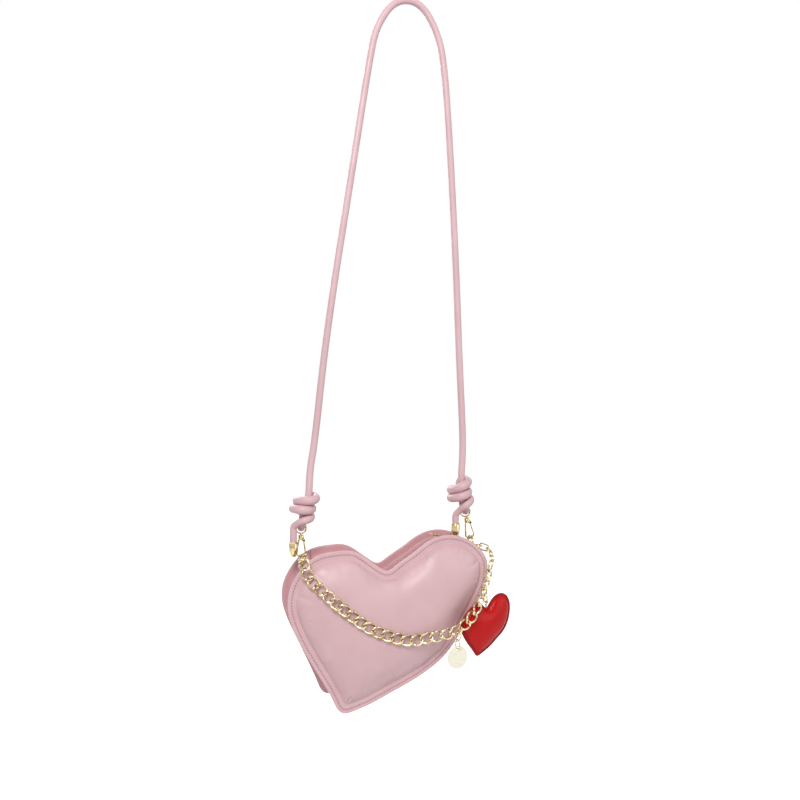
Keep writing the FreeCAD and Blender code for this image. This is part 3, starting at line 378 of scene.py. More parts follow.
# Cord: the strap and the knot at each of its ends on one spline
STRAP_ROUTE = (
    (-100.6, -475.0), (-95.2, -444.0), (-86.8, -365.0), (-75.5, -284.0), (-62.3, -203.0),
    (-49.5, -122.0), (-39.8, -62.0), (-33.0, -27.0), (-12.5, 3.5), (15.0, 3.5), (33.6, -28.0),
    (39.8, -62.0), (44.2, -120.0), (48.9, -200.0), (52.9, -280.0), (55.9, -362.0), (59.9, -440.0),
    (59.4, -466.0),
)
CORD = 7.0
BIGHT = 5.0
WRAP_REACH, WRAP_PITCH, WRAP_HEIGHT, WRAP_LIFT = 8.5, 7.9, 11.0, 4.0
# Quarter turns of the wraps' descent, and of their whole run
WRAP_LEVELS, WRAP_QUARTERS = 9, 9.5
WRAP_DRIFT, DRIFT_POWER = 3.0, 1.5
# The turn over into the wraps: shares of the reach and the bight, and a rise
TURN_OVER = ((0.25, 1.1, 0.0), (0.85, 0.8, 0.5))
POINTS_PER_TURN = 16
TAIL_DROP, TAIL_EASE, TAIL_TURN = 4.5, 6, 6.5
TAIL_BENDS = (3.0, 9.0)
TAILS = {"left": 27.0, "right": 21.0}
# Points of the tail and the bight at the ends of a knot, and how much fuller the wraps between are
KNOT_TAIL, KNOT_BIGHT, WRAP_SWELL = 4, 14, 1.27
BAG_LEFT, BAG_TOP, BAG_WIDTH, BAG_HEIGHT = -125.5, -540.8, 205.0, 167.0
RING_SHARES = {"left": (0.0805, 0.133), "right": (0.9460, 0.070)}
HOOK_LEANS = {"left": 0.0, "right": -12.0}
KNOT_LEANS = {"left": 13.0, "right": -12.0}
HOOK_RISE, BIGHT_HEIGHT = 4.9, 28.5
BACK = np.array((0.0, 1.0, 0.0))
UP = np.array((0.0, 0.0, 1.0))


def leaned(degrees):
    """Across and up directions of a piece that leans to its right."""
    angle = math.radians(degrees)
    return (np.array((math.cos(angle), 0.0, -math.sin(angle))),
            np.array((math.sin(angle), 0.0, math.cos(angle))))


def placer(base, across, axis):
    """A function for places this far across, back and up from a base."""
    return lambda x, y, z: base + across * x + BACK * y + axis * z


def ring_centre(side):
    """Middle of the arch of a ring on the bag."""
    across, down = RING_SHARES[side]
    return np.array((BAG_LEFT + across * BAG_WIDTH, 0.0, BAG_TOP - down * BAG_HEIGHT))


def knot_points(side):
    """Bends of a knot from the strap: down, round the bight, up, the wraps and the tail."""
    across, axis = leaned(KNOT_LEANS[side])
    hook_axis = leaned(HOOK_LEANS[side])[1]
    place = placer(ring_centre(side) + UP * HOOK_RISE + hook_axis * BIGHT_HEIGHT, across, axis)
    quarter = math.pi * (BIGHT / 2 + WRAP_REACH) / 2
    slope = WRAP_PITCH / (4 * quarter)
    level = WRAP_HEIGHT + slope * WRAP_LEVELS * quarter
    points = [place(0, -BIGHT, level + CORD / 2)]
    step = 2 * math.pi / POINTS_PER_TURN
    wide = 1 / math.cos(step / 2)
    for k in range(POINTS_PER_TURN // 2 + 1):
        angle = k * step
        points.append(place(0, -BIGHT * wide * math.cos(angle), BIGHT - BIGHT * wide * math.sin(angle)))
    points.append(place(0, BIGHT, level - CORD / 2))
    for out, behind, rise in TURN_OVER:
        points.append(place(WRAP_REACH * out, BIGHT * behind, level + WRAP_LIFT + rise))
    count = round(WRAP_QUARTERS * POINTS_PER_TURN / 4)
    for k in range(1, count + 1):
        angle = k * step
        run = angle / (math.pi / 2) * quarter
        lift = WRAP_LIFT * max(0.0, 1 - run / (2 * quarter))
        points.append(place(
            WRAP_REACH * wide * math.cos(angle), -(BIGHT + WRAP_REACH) * wide * math.sin(angle),
            level - slope * run + lift))
    corner = points[-1] + (BACK - across) * (TAIL_TURN * math.sqrt(0.5))
    for k in range(1, count + 1):
        aside = WRAP_DRIFT * math.sin(math.pi * (k / count) ** DRIFT_POWER)
        drop = TAIL_DROP * max(0.0, (k - count) / TAIL_EASE + 1) ** 2
        points[k - count - 1] = points[k - count - 1] - across * aside - UP * drop
    return points + [corner - UP * (TAIL_TURN + down) for down in (*TAIL_BENDS, TAILS[side])]


left_knot = knot_points("left")
route = left_knot[::-1] + [np.array((x, 0.0, z)) for x, z in STRAP_ROUTE] + knot_points("right")
cord_data = bpy.data.curves.new("strap_cord_line", "CURVE")
cord_data.dimensions = "3D"
cord_data.bevel_depth = CORD / 2 * MM
cord_data.bevel_resolution = 6
cord_data.use_fill_caps = True
cord_data.resolution_u = 10
spline = cord_data.splines.new("NURBS")
spline.points.add(len(route) - 1)
for point, place in zip(spline.points, route):
    point.co = (*(place * MM), 1.0)
knot_length = len(left_knot)
cord_points = list(spline.points)
for end in (cord_points[:knot_length], cord_points[::-1][:knot_length]):
    for k, point in enumerate(end[KNOT_TAIL:-KNOT_BIGHT]):
        point.radius = 1 + (WRAP_SWELL - 1) * min(1.0, (k + 1) / TAIL_EASE)
spline.order_u = 3
spline.use_endpoint_u = True
cord_data.materials.append(PINK_CORD)
cord_piece = bpy.data.objects.new("strap_leather_cord", cord_data)
scene.collection.objects.link(cord_piece)
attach(cord_piece, "strap")
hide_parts("strap_cord")

# Caps on the two tails of the cord: radius and height of the tip, the taper, a groove and the mouth
CAP_PROFILE = (
    (1.3, 0.0), (2.2, 0.12), (2.5, 0.5), (4.25, 5.2), (4.4, 5.8), (4.4, 12.3), (4.18, 12.6),
    (4.18, 13.0), (4.4, 13.3), (4.4, 14.2), (4.1, 14.5), (3.65, 14.3), (3.55, 11.5),
)
for side in ("left", "right"):
    node = "cord_cap_" + side
    low, high = (np.array(corner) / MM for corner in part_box(node))
    cap = Form()
    cap.lathe(CAP_PROFILE, np.array(((low[0] + high[0]) / 2, (low[1] + high[1]) / 2, low[2])), UP, 48)
    new_piece("cap_" + side, cap, GOLD, "gold_metal", node)

# Snap hooks: collar, pear shaped wire, gate and eye; rings on the bag
HOOK_HEIGHT, HOOK_BEND, HOOK_WIRE = 17.0, 4.4, 1.0
COLLAR_RADIUS, COLLAR_HEIGHT = 2.8, 4.6
SHOULDER = (-3.1, 12.4)
SEAT_ANGLE, BEND_STEPS = 25.0, 8
GATE_WIRE, GATE_EYE, GATE_GAP = 0.8, 1.3, 0.4
CHEEK, CHEEK_PLAY, ARM_RISE = 0.7, 0.15, 1.6
EYE_HEIGHT, EYE_RADIUS, EYE_WIRE, EYE_STEPS = 28.1, 5.2, 0.9, 40
STEM_RADIUS, STEM_LOW = 1.0, 18.05
RING_RADIUS, RING_WIRE, RING_CORNER, RING_LEG = 7.5, 2.2, 2.4, 3.0


def smooth_line(points, per_run=6):
    """Points on a smooth curve through the given ones."""
    points = [np.asarray(p, float) for p in points]
    padded = [points[0] * 2 - points[1]] + points + [points[-1] * 2 - points[-2]]
    line = []
    for a, b, c, d in zip(padded, padded[1:], padded[2:], padded[3:]):
        for k in range(per_run):
            t = k / per_run
            line.append(0.5 * (
                2 * b + (c - a) * t + (2 * a - 5 * b + 4 * c - d) * t ** 2
                + (3 * b - a - 3 * c + d) * t ** 3))
    return line + [points[-1]]


def hook_pieces(side):
    """Body, gate and eye of a snap hook."""
    base = ring_centre(side) + UP * HOOK_RISE
    across, axis = leaned(HOOK_LEANS[side])
    place = placer(base, across, axis)
    pivot = np.array((COLLAR_RADIUS, HOOK_HEIGHT - GATE_EYE))
    hinge = place(pivot[0], 0, pivot[1])
    body = Form()
    body.lathe(rounded_bar(COLLAR_RADIUS, HOOK_HEIGHT, HOOK_HEIGHT + COLLAR_HEIGHT, 0.6), base, axis)
    bend = [(HOOK_WIRE - COLLAR_RADIUS, HOOK_HEIGHT + 1.0), SHOULDER]
    for k in range(BEND_STEPS + 1):
        angle = math.radians(180 + (180 + SEAT_ANGLE) * k / BEND_STEPS)
        bend.append((HOOK_BEND * math.cos(angle), HOOK_BEND * (1 + math.sin(angle))))
    body.tube(smooth_line([place(x, 0, z) for x, z in bend]), HOOK_WIRE)
    cheek_in = GATE_WIRE + CHEEK_PLAY
    arm_top = HOOK_HEIGHT + ARM_RISE
    arm = [(0.4, pivot[1]), (3.9, pivot[1]), (3.6, pivot[1] + 1.4), (2.7, arm_top), (0.4, arm_top)]
    for sign in (-1, 1):
        low, high = sorted((sign * cheek_in, sign * (cheek_in + CHEEK)))
        body.lathe(rounded_bar(GATE_EYE, low, high, 0.15), hinge, BACK, 20)
        body.rings([[place(x, y, z) for x, z in arm] for y in (low, high)])
    gate = Form()
    angle = math.radians(SEAT_ANGLE)
    reach = np.array((HOOK_BEND * math.cos(angle), HOOK_BEND * (1 + math.sin(angle)))) - pivot
    end = pivot + reach * (1 - (GATE_GAP + HOOK_WIRE * CROWN_RISE) / np.linalg.norm(reach))
    gate.tube([hinge, place(end[0], 0, end[1])], GATE_WIRE)
    gate.lathe(rounded_bar(GATE_EYE, -GATE_WIRE, GATE_WIRE, 0.2), hinge, BACK, 20)
    eye = Form()
    turns = [2 * math.pi * k / EYE_STEPS for k in range(EYE_STEPS)]
    eye.tube([place(EYE_RADIUS * math.cos(a), 0, EYE_HEIGHT + EYE_RADIUS * math.sin(a)) for a in turns],
             EYE_WIRE, 14, True)
    eye.lathe(rounded_bar(STEM_RADIUS, STEM_LOW, EYE_HEIGHT - EYE_RADIUS, 0.2), base, axis, 20)
    for label, form in (("hook_body_", body), ("hook_gate_", gate), ("hook_eye_", eye)):
        new_piece(label + side + "_metal", form, GOLD, "gold_metal", label + side)


def bag_ring(side):
    """The ring on the bag: an arch, two legs and a straight bar."""
    centre = ring_centre(side)
    line = [(RING_RADIUS * math.cos(a), RING_RADIUS * math.sin(a)) for a in np.linspace(0, math.pi, 25)]
    for start, y in ((180, RING_CORNER - RING_RADIUS), (270, RING_RADIUS - RING_CORNER)):
        for degrees in np.linspace(start, start + 90, 7):
            angle = math.radians(degrees)
            line.append((y + RING_CORNER * math.cos(angle), -RING_LEG + RING_CORNER * math.sin(angle)))
    form = Form()
    form.tube([centre + BACK * y + UP * z for y, z in line], RING_WIRE / 2, 14, True)
    new_piece("d_ring_" + side + "_metal", form, GOLD, "gold_metal", "d_ring_" + side)


for side in ("left", "right"):
    hook_pieces(side)
    bag_ring(side)
    frame["nodes"]["gate_pin_" + side].data.materials.clear()
    frame["nodes"]["gate_pin_" + side].data.materials.append(GOLD)


# Copies of CAD nodes with their facets rounded off
def welded(node):
    """A node's mesh with the points of its faces joined."""
    work = bmesh.new()
    work.from_mesh(frame["nodes"][node].data)
    bmesh.ops.remove_doubles(work, verts=work.verts, dist=0.002 * MM)
    return work


def settle_copy(work, name, material, slot, node):
    """A piece from a node's changed mesh, without its normals and materials."""
    mesh = bpy.data.meshes.new(name)
    work.to_mesh(mesh)
    work.free()
    if "custom_normal" in mesh.attributes:
        mesh.attributes.remove(mesh.attributes["custom_normal"])
    mesh.materials.clear()
    return settle(name, mesh, material, slot, node)


def islands(work):
    """Loose parts of a mesh, as lists of their points."""
    seen = set()
    found = []
    for first in work.verts:
        if first in seen:
            continue
        seen.add(first)
        part = [first]
        for vert in part:
            others = [edge.other_vert(vert) for edge in vert.link_edges]
            fresh = [other for other in others if other not in seen]
            seen.update(fresh)
            part += fresh
        found.append(part)
    return found


def wire_copy(node, radius, sides, steps, fuller=0.0):
    """A faceted wire with as many sides, made round: pushed out so that it stays as thick."""
    work = welded(node)
    bmesh.ops.join_triangles(
        work, faces=work.faces, angle_face_threshold=math.radians(30.0),
        angle_shape_threshold=math.radians(60.0))
    bmesh.ops.recalc_face_normals(work, faces=work.faces)
    work.normal_update()
    around = 2 / 3 + math.cos(2 * math.pi / sides) / 3
    along = 2 / 3 + math.cos(2 * math.pi / steps) / 3
    grow = (radius * (1 / around - 1) + fuller) * MM
    for vert in work.verts:
        vert.co += vert.normal * grow
    for part in islands(work):
        centre = sum((vert.co for vert in part), Vector()) / len(part)
        for vert in part:
            vert.co = centre + (vert.co - centre) * (1 + (1 / along - 1) * 0.8)
    subdivide(settle_copy(work, node + "_wire", CHAIN, "gold_chain", node), 2)


def remeshed_copy(node, name, voxel, rounds, material, slot):
    """A copy with its edges worn round, by small voxels and smoothing."""
    piece = settle_copy(welded(node), name, material, slot, node)
    modify(piece, "REMESH", mode="VOXEL", voxel_size=voxel * MM, use_smooth_shade=True)
    modify(piece, "SMOOTH", factor=0.5, iterations=rounds)


def edged_copy(node, name, width, material, slot):
    """A copy with small rounded edges."""
    work = welded(node)
    bmesh.ops.dissolve_limit(
        work, angle_limit=math.radians(1.0), use_dissolve_boundaries=False,
        verts=work.verts, edges=work.edges)
    piece = settle_copy(work, name, material, slot, node)
    piece.data.set_sharp_from_angle(angle=math.radians(35.0))
    modify(piece, "BEVEL", width=width * MM, segments=2, limit_method="ANGLE",
           angle_limit=math.radians(40.0))


wire_copy("curb_chain", 0.95, 5, 10, 0.04)
for node, radius, steps in (
        ("chain_ring_left", 0.8, 12), ("chain_end_ring", 0.9, 14), ("chain_small_links", 0.7, 12),
        ("chain_square_ring", 0.8, 24), ("chain_end_link", 0.8, 14), ("heart_jump_ring", 0.7, 16),
        ("disc_links", 0.6, 12)):
    wire_copy(node, radius, 6, steps)
remeshed_copy("heart_eyelet", "heart_eyelet_metal", 0.14, 3, CHAIN, "gold_chain")
edged_copy("charm_disc", "cream_disc", 0.35, CREAM, "cream_disc")
for node, width in (("zip_slider", 0.22), ("zip_pull", 0.3), ("zip_stops", 0.35)):
    edged_copy(node, node + "_metal", width, GOLD, "gold_metal")
for side in ("left", "right"):
    remeshed_copy("ring_tab_" + side, "ring_tab_leather_" + side, 0.35, 5, PINK_WALL_SHADED, "pink_leather")

# Outlines
ARC_STEP = 0.3


def arc_points(start, way, end):
    """Points of the arc that leaves start along a direction and comes to end, without its end."""
    chord = end - start
    half = math.atan2(way[0] * chord[1] - way[1] * chord[0], way @ chord)
    radius = np.linalg.norm(chord) / (2 * math.sin(half))
    centre = start + np.array((-way[1], way[0])) * radius
    count = max(2, int(abs(radius * half * 2) / ARC_STEP))
    x, z = start - centre
    points = []
    for k in range(count):
        angle = 2 * half * k / count
        points.append(centre + np.array((
            x * math.cos(angle) - z * math.sin(angle), x * math.sin(angle) + z * math.cos(angle))))
    return points


def outline_points(nodes, count, passes):
    """A closed line of arcs through places with headings, as evenly spaced points, then eased."""
    points = []
    for (start, way), (end, end_way) in zip(nodes, nodes[1:] + nodes[:1]):
        reach = end - start
        both = reach @ (way + end_way)
        spread_out = 2 * (1 - way @ end_way)
        run = (math.sqrt(both ** 2 + spread_out * (reach @ reach)) - both) / spread_out
        middle = (start + end + (way - end_way) * run) / 2
        rest = end - middle
        turn = rest * (2 * (rest @ end_way) / (rest @ rest)) - end_way
        points += arc_points(start, way, middle) + arc_points(middle, turn, end)
    line = np.array(points + points[:1])
    along = run_lengths(line)
    wanted = np.arange(count) * along[-1] / count
    line = np.stack([np.interp(wanted, along, line[:, k]) for k in (0, 1)], 1)
    for step in range(passes):
        line = (np.roll(line, 1, 0) + 2 * line + np.roll(line, -1, 0)) / 4
    return line


def heading(degrees):
    """A direction across and up."""
    return np.array((math.cos(math.radians(degrees)), math.sin(math.radians(degrees))))


def inward(line):
    """The way in from each point of a clockwise line."""
    way = unit_rows(np.roll(line, -1, 0) - np.roll(line, 1, 0))
    return np.stack([way[:, 1], -way[:, 0]], 1)


def depth_shares(points, line):
    """How deep points lie inside a closed line: 0 on it and 1 at the deepest, level in the middle."""
    found = np.zeros(len(points))
    for k, point in enumerate(points):
        away = line - point
        far = np.linalg.norm(away, axis=1)
        if far.min() < 1e-6:
            continue
        unit = away / far[:, None]
        after = np.roll(unit, -1, 0)
        cross = unit[:, 0] * after[:, 1] - unit[:, 1] * after[:, 0]
        half = -cross / (1 + np.sum(unit * after, 1))
        found[k] = 2 / np.sum((half + np.roll(half, 1)) / far)
    return found / found.max()


def inside(points, line):
    """Whether a closed line goes round points."""
    away = line - points[:, None]
    turns = np.arctan2(away[:, :, 1], away[:, :, 0])
    steps = (np.roll(turns, -1, 1) - turns + math.pi) % (2 * math.pi) - math.pi
    return np.abs(steps.sum(1)) > 1


def filled(points, count, tolerance):
    """Triangles of a flat net inside the closed line of its first points."""
    border = [(i, (i + 1) % count) for i in range(count)]
    _, _, faces, kept, _, _ = delaunay_2d_cdt([Vector(p) for p in points], border, [], 1, tolerance)
    return [tuple(kept[i][0] for i in face) for face in faces]


def dome_net(line, centre, scales, grid):
    """Points and triangles inside a line: rings drawn in towards the centre, then an even net."""
    rings = [centre + (line - centre) * scale for scale in scales]
    low, high = line.min(0), line.max(0)
    net = []
    steep = math.sqrt(0.75)
    rows = int((high[1] - low[1]) / (grid * steep)) + 2
    for row in range(rows):
        z = low[1] + row * grid * steep
        net += [(x, z) for x in np.arange(low[0] + row % 2 * grid / 2, high[0], grid)]
    net = np.array(net)
    core = centre + (line - centre) * (scales[-1] - (scales[-2] - scales[-1]))
    points = np.concatenate(rings + [net[inside(net, core)]])
    return points, filled(points, len(line), 1e-5)


def smoothed(heights, faces, held, rounds):
    """Heights over a net, evened out between neighbours, with the first ones held."""
    pairs = np.array([(face[i], face[i - 1]) for face in faces for i in range(3)])
    first = np.concatenate([pairs[:, 0], pairs[:, 1]])
    second = np.concatenate([pairs[:, 1], pairs[:, 0]])
    number = np.maximum(1, np.bincount(first, minlength=len(heights)))
    for step in range(rounds):
        mean = np.bincount(first, heights[second], len(heights)) / number
        heights = np.concatenate([heights[:held], (heights[held:] + mean[held:]) / 2])
    return heights


# Bag: the outline's places as shares of its width and height, with headings
LOBE_CENTRE = (0.794, 0.268)
LOBE_RADIUS = 45.5
LOBE_HEADINGS = (38.0, -40.0)
NOTCH = (0.496, 0.190, 41.0)
OUTLINE = (
    (1.000, 0.190, -90.0), (0.886, 0.518, -124.0), (0.700, 0.770, -148.0), (0.405, 0.942, -156.0),
    (0.288, 0.989, -158.0), (0.225, 0.955, 110.0), (0.150, 0.775, 121.0), (0.040, 0.530, 114.0),
    (0.000, 0.345, 90.0), (0.080, 0.130, 46.0), (0.290, 0.058, 0.0), (0.385, 0.115, -38.0),
    (0.470, 0.193, -40.0),
)
ROUND, OUTLINE_PASSES = 256, 6
HALF_TOP, HALF_TIP = 18.0, 28.5
LEAN = math.atan2(HALF_TIP - HALF_TOP, BAG_HEIGHT)
FLANGE, SKIN = 8.5, 1.4
ZIP_SPAN, ZIP_REACH = (0.140, 0.870), 0.36
# Dome: a full form and a softer one mixed, slack towards the tip
DOME_CENTRE, DOME_RISE = (0.505, 0.430), 17.0
DOME_SCALES, DOME_GRID, DOME_ROUNDS = (1.0, 0.99, 0.975, 0.955, 0.93, 0.90), 4.5, 14
FULL_SHARE, FULL_CORNER, FULL_CROWN = 0.8, 4.5, 0.6
SOFT_POWER, SLACK_POWER = 0.45, 0.8
LOW_TOP, LOW_REACH, LOW_SHARE = -610.0, 80.0, 0.6
SWAY, SWAY_TOP, SWAY_REACH = 6.0, -632.0, 70.0
# Swelling of the dome as cloth
SWELL_FRAMES, SWELL_CAP, SWELL_PRESSURE, SWELL_STIFFNESS = 20, 2.0, 30.0, 15.0


def bag_point(shares):
    """A place from shares of the bag's width and height."""
    return np.array((BAG_LEFT + shares[0] * BAG_WIDTH, BAG_TOP - shares[1] * BAG_HEIGHT))


lobe = bag_point(LOBE_CENTRE)
bag_nodes = [(bag_point(NOTCH), heading(NOTCH[2]))]
bag_nodes += [(lobe + heading(turn + 90) * LOBE_RADIUS, heading(turn)) for turn in LOBE_HEADINGS]
bag_nodes += [(bag_point(row), heading(row[2])) for row in OUTLINE]
outline = outline_points(bag_nodes, ROUND, OUTLINE_PASSES)
zip_low, zip_high = (BAG_LEFT + share * BAG_WIDTH for share in ZIP_SPAN)
zip_floor = BAG_TOP - ZIP_REACH * BAG_HEIGHT
in_zip = (outline[:, 0] > zip_low) & (outline[:, 0] < zip_high) & (outline[:, 1] > zip_floor)
turned_round = [(i + ROUND // 2) % ROUND for i in range(ROUND)]
zip_run = [i for i in turned_round if in_zip[i]]
wall_run = [i for i in range(ROUND) if not in_zip[i]]
for inner, outer in ((zip_run[-1], wall_run[0]), (zip_run[0], wall_run[-1])):
    limit = zip_high if outline[inner, 0] > bag_point(NOTCH)[0] else zip_low
    share = (limit - outline[inner, 0]) / (outline[outer, 0] - outline[inner, 0])
    outline[inner] += share * (outline[outer] - outline[inner])
wall_run = [zip_run[-1]] + wall_run + [zip_run[0]]
way_in = inward(outline)
sew_line = outline + way_in * FLANGE
bag_centre = bag_point(DOME_CENTRE)


def half_depth(z):
    """From the middle of the bag to the back face of a flange at this height."""
    return HALF_TOP + (BAG_TOP - z) * math.tan(LEAN)


def sway(y, z):
    """How far the soft bag's tip hangs to the left towards its back."""
    low = np.clip((SWAY_TOP - z) / SWAY_REACH, 0.0, 1.0)
    behind = np.clip((y / half_depth(z) + 1) / 2, 0.0, 1.0)
    return SWAY * low * low * (3 - 2 * low) * behind


def on_panel(line, height, sign=-1):
    """Places on a leaning panel, the front with sign -1, this high over the back face of its flange."""
    out = np.broadcast_to(np.asarray(height, float), (len(line),))
    drop = line[:, 1] - BAG_TOP
    y = out * math.cos(LEAN) - drop * math.sin(LEAN) + HALF_TOP
    z = out * math.sin(LEAN) + drop * math.cos(LEAN) + BAG_TOP
    return np.stack([line[:, 0] - sway(sign * y, z), sign * y, z], 1)


def puffed(points, faces, held):
    """Lets a dome swell as cloth under pressure, held at its first points, up to the cap."""
    mesh = bpy.data.meshes.new("swelling")
    mesh.from_pydata([tuple(p) for p in points * MM], [], faces)
    item = bpy.data.objects.new("swelling", mesh)
    scene.collection.objects.link(item)
    item.vertex_groups.new(name="held").add(list(range(held)), 1.0, "REPLACE")
    modifier = item.modifiers.new("cloth", "CLOTH")
    settings = modifier.settings
    settings.vertex_group_mass = "held"
    settings.quality = 6
    settings.mass = 0.25
    settings.tension_stiffness = SWELL_STIFFNESS
    settings.compression_stiffness = SWELL_STIFFNESS
    settings.shear_stiffness = 12.0
    settings.bending_stiffness = 3.0
    settings.use_pressure = True
    settings.uniform_pressure_force = SWELL_PRESSURE
    settings.effector_weights.gravity = 0.0
    modifier.collision_settings.use_collision = False
    for step in range(SWELL_FRAMES):
        scene.frame_set(step + 1)
    shown = item.evaluated_get(bpy.context.evaluated_depsgraph_get())
    moved = np.array([v.co for v in shown.data.vertices]) / MM - points
    scene.frame_set(1)
    bpy.data.objects.remove(item)
    far = np.linalg.norm(moved, axis=1)
    share = np.minimum(1.0, SWELL_CAP / np.maximum(far, 1e-9))
    return points + moved * share[:, None]


dome_flat, dome_faces = dome_net(sew_line, bag_centre, DOME_SCALES, DOME_GRID)
dome_depth = depth_shares(dome_flat, sew_line)
away = dome_flat - bag_centre
sewn = sew_line - bag_centre
sewn_turns = np.arctan2(sewn[:, 1], sewn[:, 0])
turn_order = np.argsort(sewn_turns)
reach = np.interp(
    np.arctan2(away[:, 1], away[:, 0]), sewn_turns[turn_order],
    np.linalg.norm(sewn, axis=1)[turn_order], period=2 * math.pi)
from_middle = np.minimum(1.0, np.linalg.norm(away, axis=1) / reach)
full = (1 - from_middle ** FULL_CORNER) ** FULL_CROWN
soft = dome_depth ** SOFT_POWER
slack = dome_depth ** SLACK_POWER
low = np.clip((LOW_TOP - dome_flat[:, 1]) / LOW_REACH, 0.0, 1.0)
low = LOW_SHARE * low * low * (3 - 2 * low)
dome_form = (1 - low) * (FULL_SHARE * full + (1 - FULL_SHARE) * soft) + low * slack
dome_height = SKIN + DOME_RISE * dome_form
dome_height[:ROUND] = SKIN
dome_height = smoothed(dome_height, dome_faces, ROUND, DOME_ROUNDS)
dome_points = on_panel(dome_flat, dome_height)
# The cloth's pressure works along the normals, so the faces look out
a, b, c = (dome_points[i] for i in dome_faces[0])
if np.cross(b - a, c - a)[1] > 0:
    dome_faces = [face[::-1] for face in dome_faces]
dome_points = puffed(dome_points, dome_faces, ROUND)
# Inset and height from the flange's back face round its edge and over the sewn groove
PANEL_EDGE = (
    (8.2, 0.0), (4.0, 0.0), (0.7, 0.0), (0.15, 0.2), (0.0, 0.7), (0.15, 1.2), (0.7, 1.4),
    (3.0, 1.42), (3.6, 1.36), (4.0, 1.3), (4.4, 1.36), (5.0, 1.42), (7.4, 1.4), (8.1, 1.4),
)
# Rings round the panel's edge that take the edge paint, lighter as a painted highlight
EDGE_PAINT_AND_HIGHLIGHT_FROM, EDGE_PAINT_AND_HIGHLIGHT_TO = 2, 6


def panel(name, sign, *nodes):
    """A leather heart: its flange in rings, the dome outside and a flat face inside."""
    form = Form()
    form.rings([on_panel(outline + way_in * d, h, sign) for d, h in PANEL_EDGE], caps=False)
    last = len(form.points) - ROUND
    dome = dome_points * (1, -sign, 1)
    dome[:, 0] += sway(dome_points[:, 1], dome_points[:, 2]) - sway(dome[:, 1], dome[:, 2])
    for start, places in ((last, dome), (0, on_panel(dome_flat, 0.0, sign))):
        form.bridge(start, form.net(places, dome_faces), ROUND)
    piece = new_piece(name, form, PINK, "pink_leather", *nodes)
    piece.data.materials.append(PINK_EDGE_HIGHLIGHT)
    for face in piece.data.polygons:
        if all(EDGE_PAINT_AND_HIGHLIGHT_FROM <= i // ROUND <= EDGE_PAINT_AND_HIGHLIGHT_TO for i in face.vertices):
            face.material_index = 1
    subdivide(piece, 1)


panel("front_leather", -1, "front_panel", "front_padding")
panel("back_leather", 1, "back_panel", "back_padding")

# Stitches
STITCH_IN, STITCH_PITCH, STITCH_LENGTH, STITCH_RADIUS = 4.0, 2.7, 1.8, 0.42
STITCH_SLANT, STITCH_LOOK = 0.9, 0.2
# Shares of a stitch's length, with the rise of the thread there
STITCH_SHAPE = ((-0.5, -0.25), (-0.3, 0.12), (0.0, 0.24), (0.3, 0.12), (0.5, -0.25))


def stitch_row(name, places, outs):
    """Short threads along a line of places, each with the way out from the leather."""
    along = run_lengths(places)
    count = int(along[-1] / STITCH_PITCH)
    form = Form()
    for k in range(count):
        middle = (k + 0.5) * along[-1] / count
        thread = []
        for share, rise in STITCH_SHAPE:
            distance = middle + share * STITCH_LENGTH
            place, out = (at_length(rows, along, distance) for rows in (places, outs))
            ahead = at_length(places, along, middle + (share + STITCH_LOOK) * STITCH_LENGTH)
            aside = np.cross(out, ahead - place)
            aside /= max(np.linalg.norm(aside), 1e-9)
            thread.append(place + out * rise + aside * (share * STITCH_SLANT))
        form.tube(thread, STITCH_RADIUS, 6)
    new_piece(name, form, THREAD, "pink_leather")


for name, sign in (("front", -1), ("back", 1)):
    seam = on_panel(outline + way_in * STITCH_IN, 1.3, sign)
    seam = np.concatenate([seam, seam[:1]])
    out = np.tile((0.0, sign * math.cos(LEAN), math.sin(LEAN)), (len(seam), 1))
    stitch_row(name + "_stitches", seam, out)

# Wall between the flanges, with the zip's two strips as the top of it
RIM, RIM_TURN, WALL, BOW = 1.2, 1.3, 1.4, 1.0
# Insets and depths of the turned rim's face and rear, and of a strip's lip at the zip
RIM_FACE = ((0.6, RIM), (4.0, RIM), (7.2, RIM), (8.1, RIM + 0.35), (FLANGE, RIM + RIM_TURN))
RIM_REAR = ((9.9, RIM + 1.2), (9.2, 0.3), (8.3, 0.1), (4.0, 0.08), (0.6, 0.1), (0.3, 0.6))
ZIP_LIP = ((8.45, 3.0), (8.3, 1.0), (8.5, 0.2), (9.0, 0.0), (9.6, 0.2), (9.85, 1.0), (9.85, 3.0))
ZIP_HALF = 5.0
END_RINGS, END_STEP = 4, 0.5


def wall_place(i, inset, y):
    """A place in from the outline's point, past the sewn line also towards the bag's middle."""
    spot = outline[i] + way_in[i] * min(inset, FLANGE)
    if inset > FLANGE:
        reach = bag_centre - spot
        blend = reach / np.linalg.norm(reach) + way_in[i]
        spot = spot + blend / np.linalg.norm(blend) * (inset - FLANGE)
    return (spot[0] - sway(y, spot[1]), y, spot[1])


def sweep(run, profile):
    """A strip along the outline with a closed profile of insets and depths, its ends cut upright."""
    shapes = [profile(half_depth(outline[i][1])) for i in run]
    rings = [np.array([wall_place(i, d, y) for d, y in shape]) for i, shape in zip(run, shapes)]
    for way in (1, -1):
        limit = outline[run[::way][0]][0]
        ahead = math.copysign(1.0, outline[run[::way][1]][0] - limit)
        for k, (i, ring) in enumerate(list(zip(run[::way], rings[::way]))[:END_RINGS]):
            slope = -way_in[i][0] / way_in[i][1]
            short = limit + ahead * END_STEP * k - ring[:, 0]
            if k:
                short = ahead * np.maximum(0.0, ahead * short)
            ring[:, 0] += short
            ring[:, 2] += short * slope
    form = Form()
    form.rings(rings, caps=False)
    count = len(rings[0])
    for shape, start in ((shapes[0], 0), (shapes[-1], len(form.points) - count)):
        form.faces += [tuple(start + i for i in face) for face in filled(shape, count, 1e-6)]
    return form


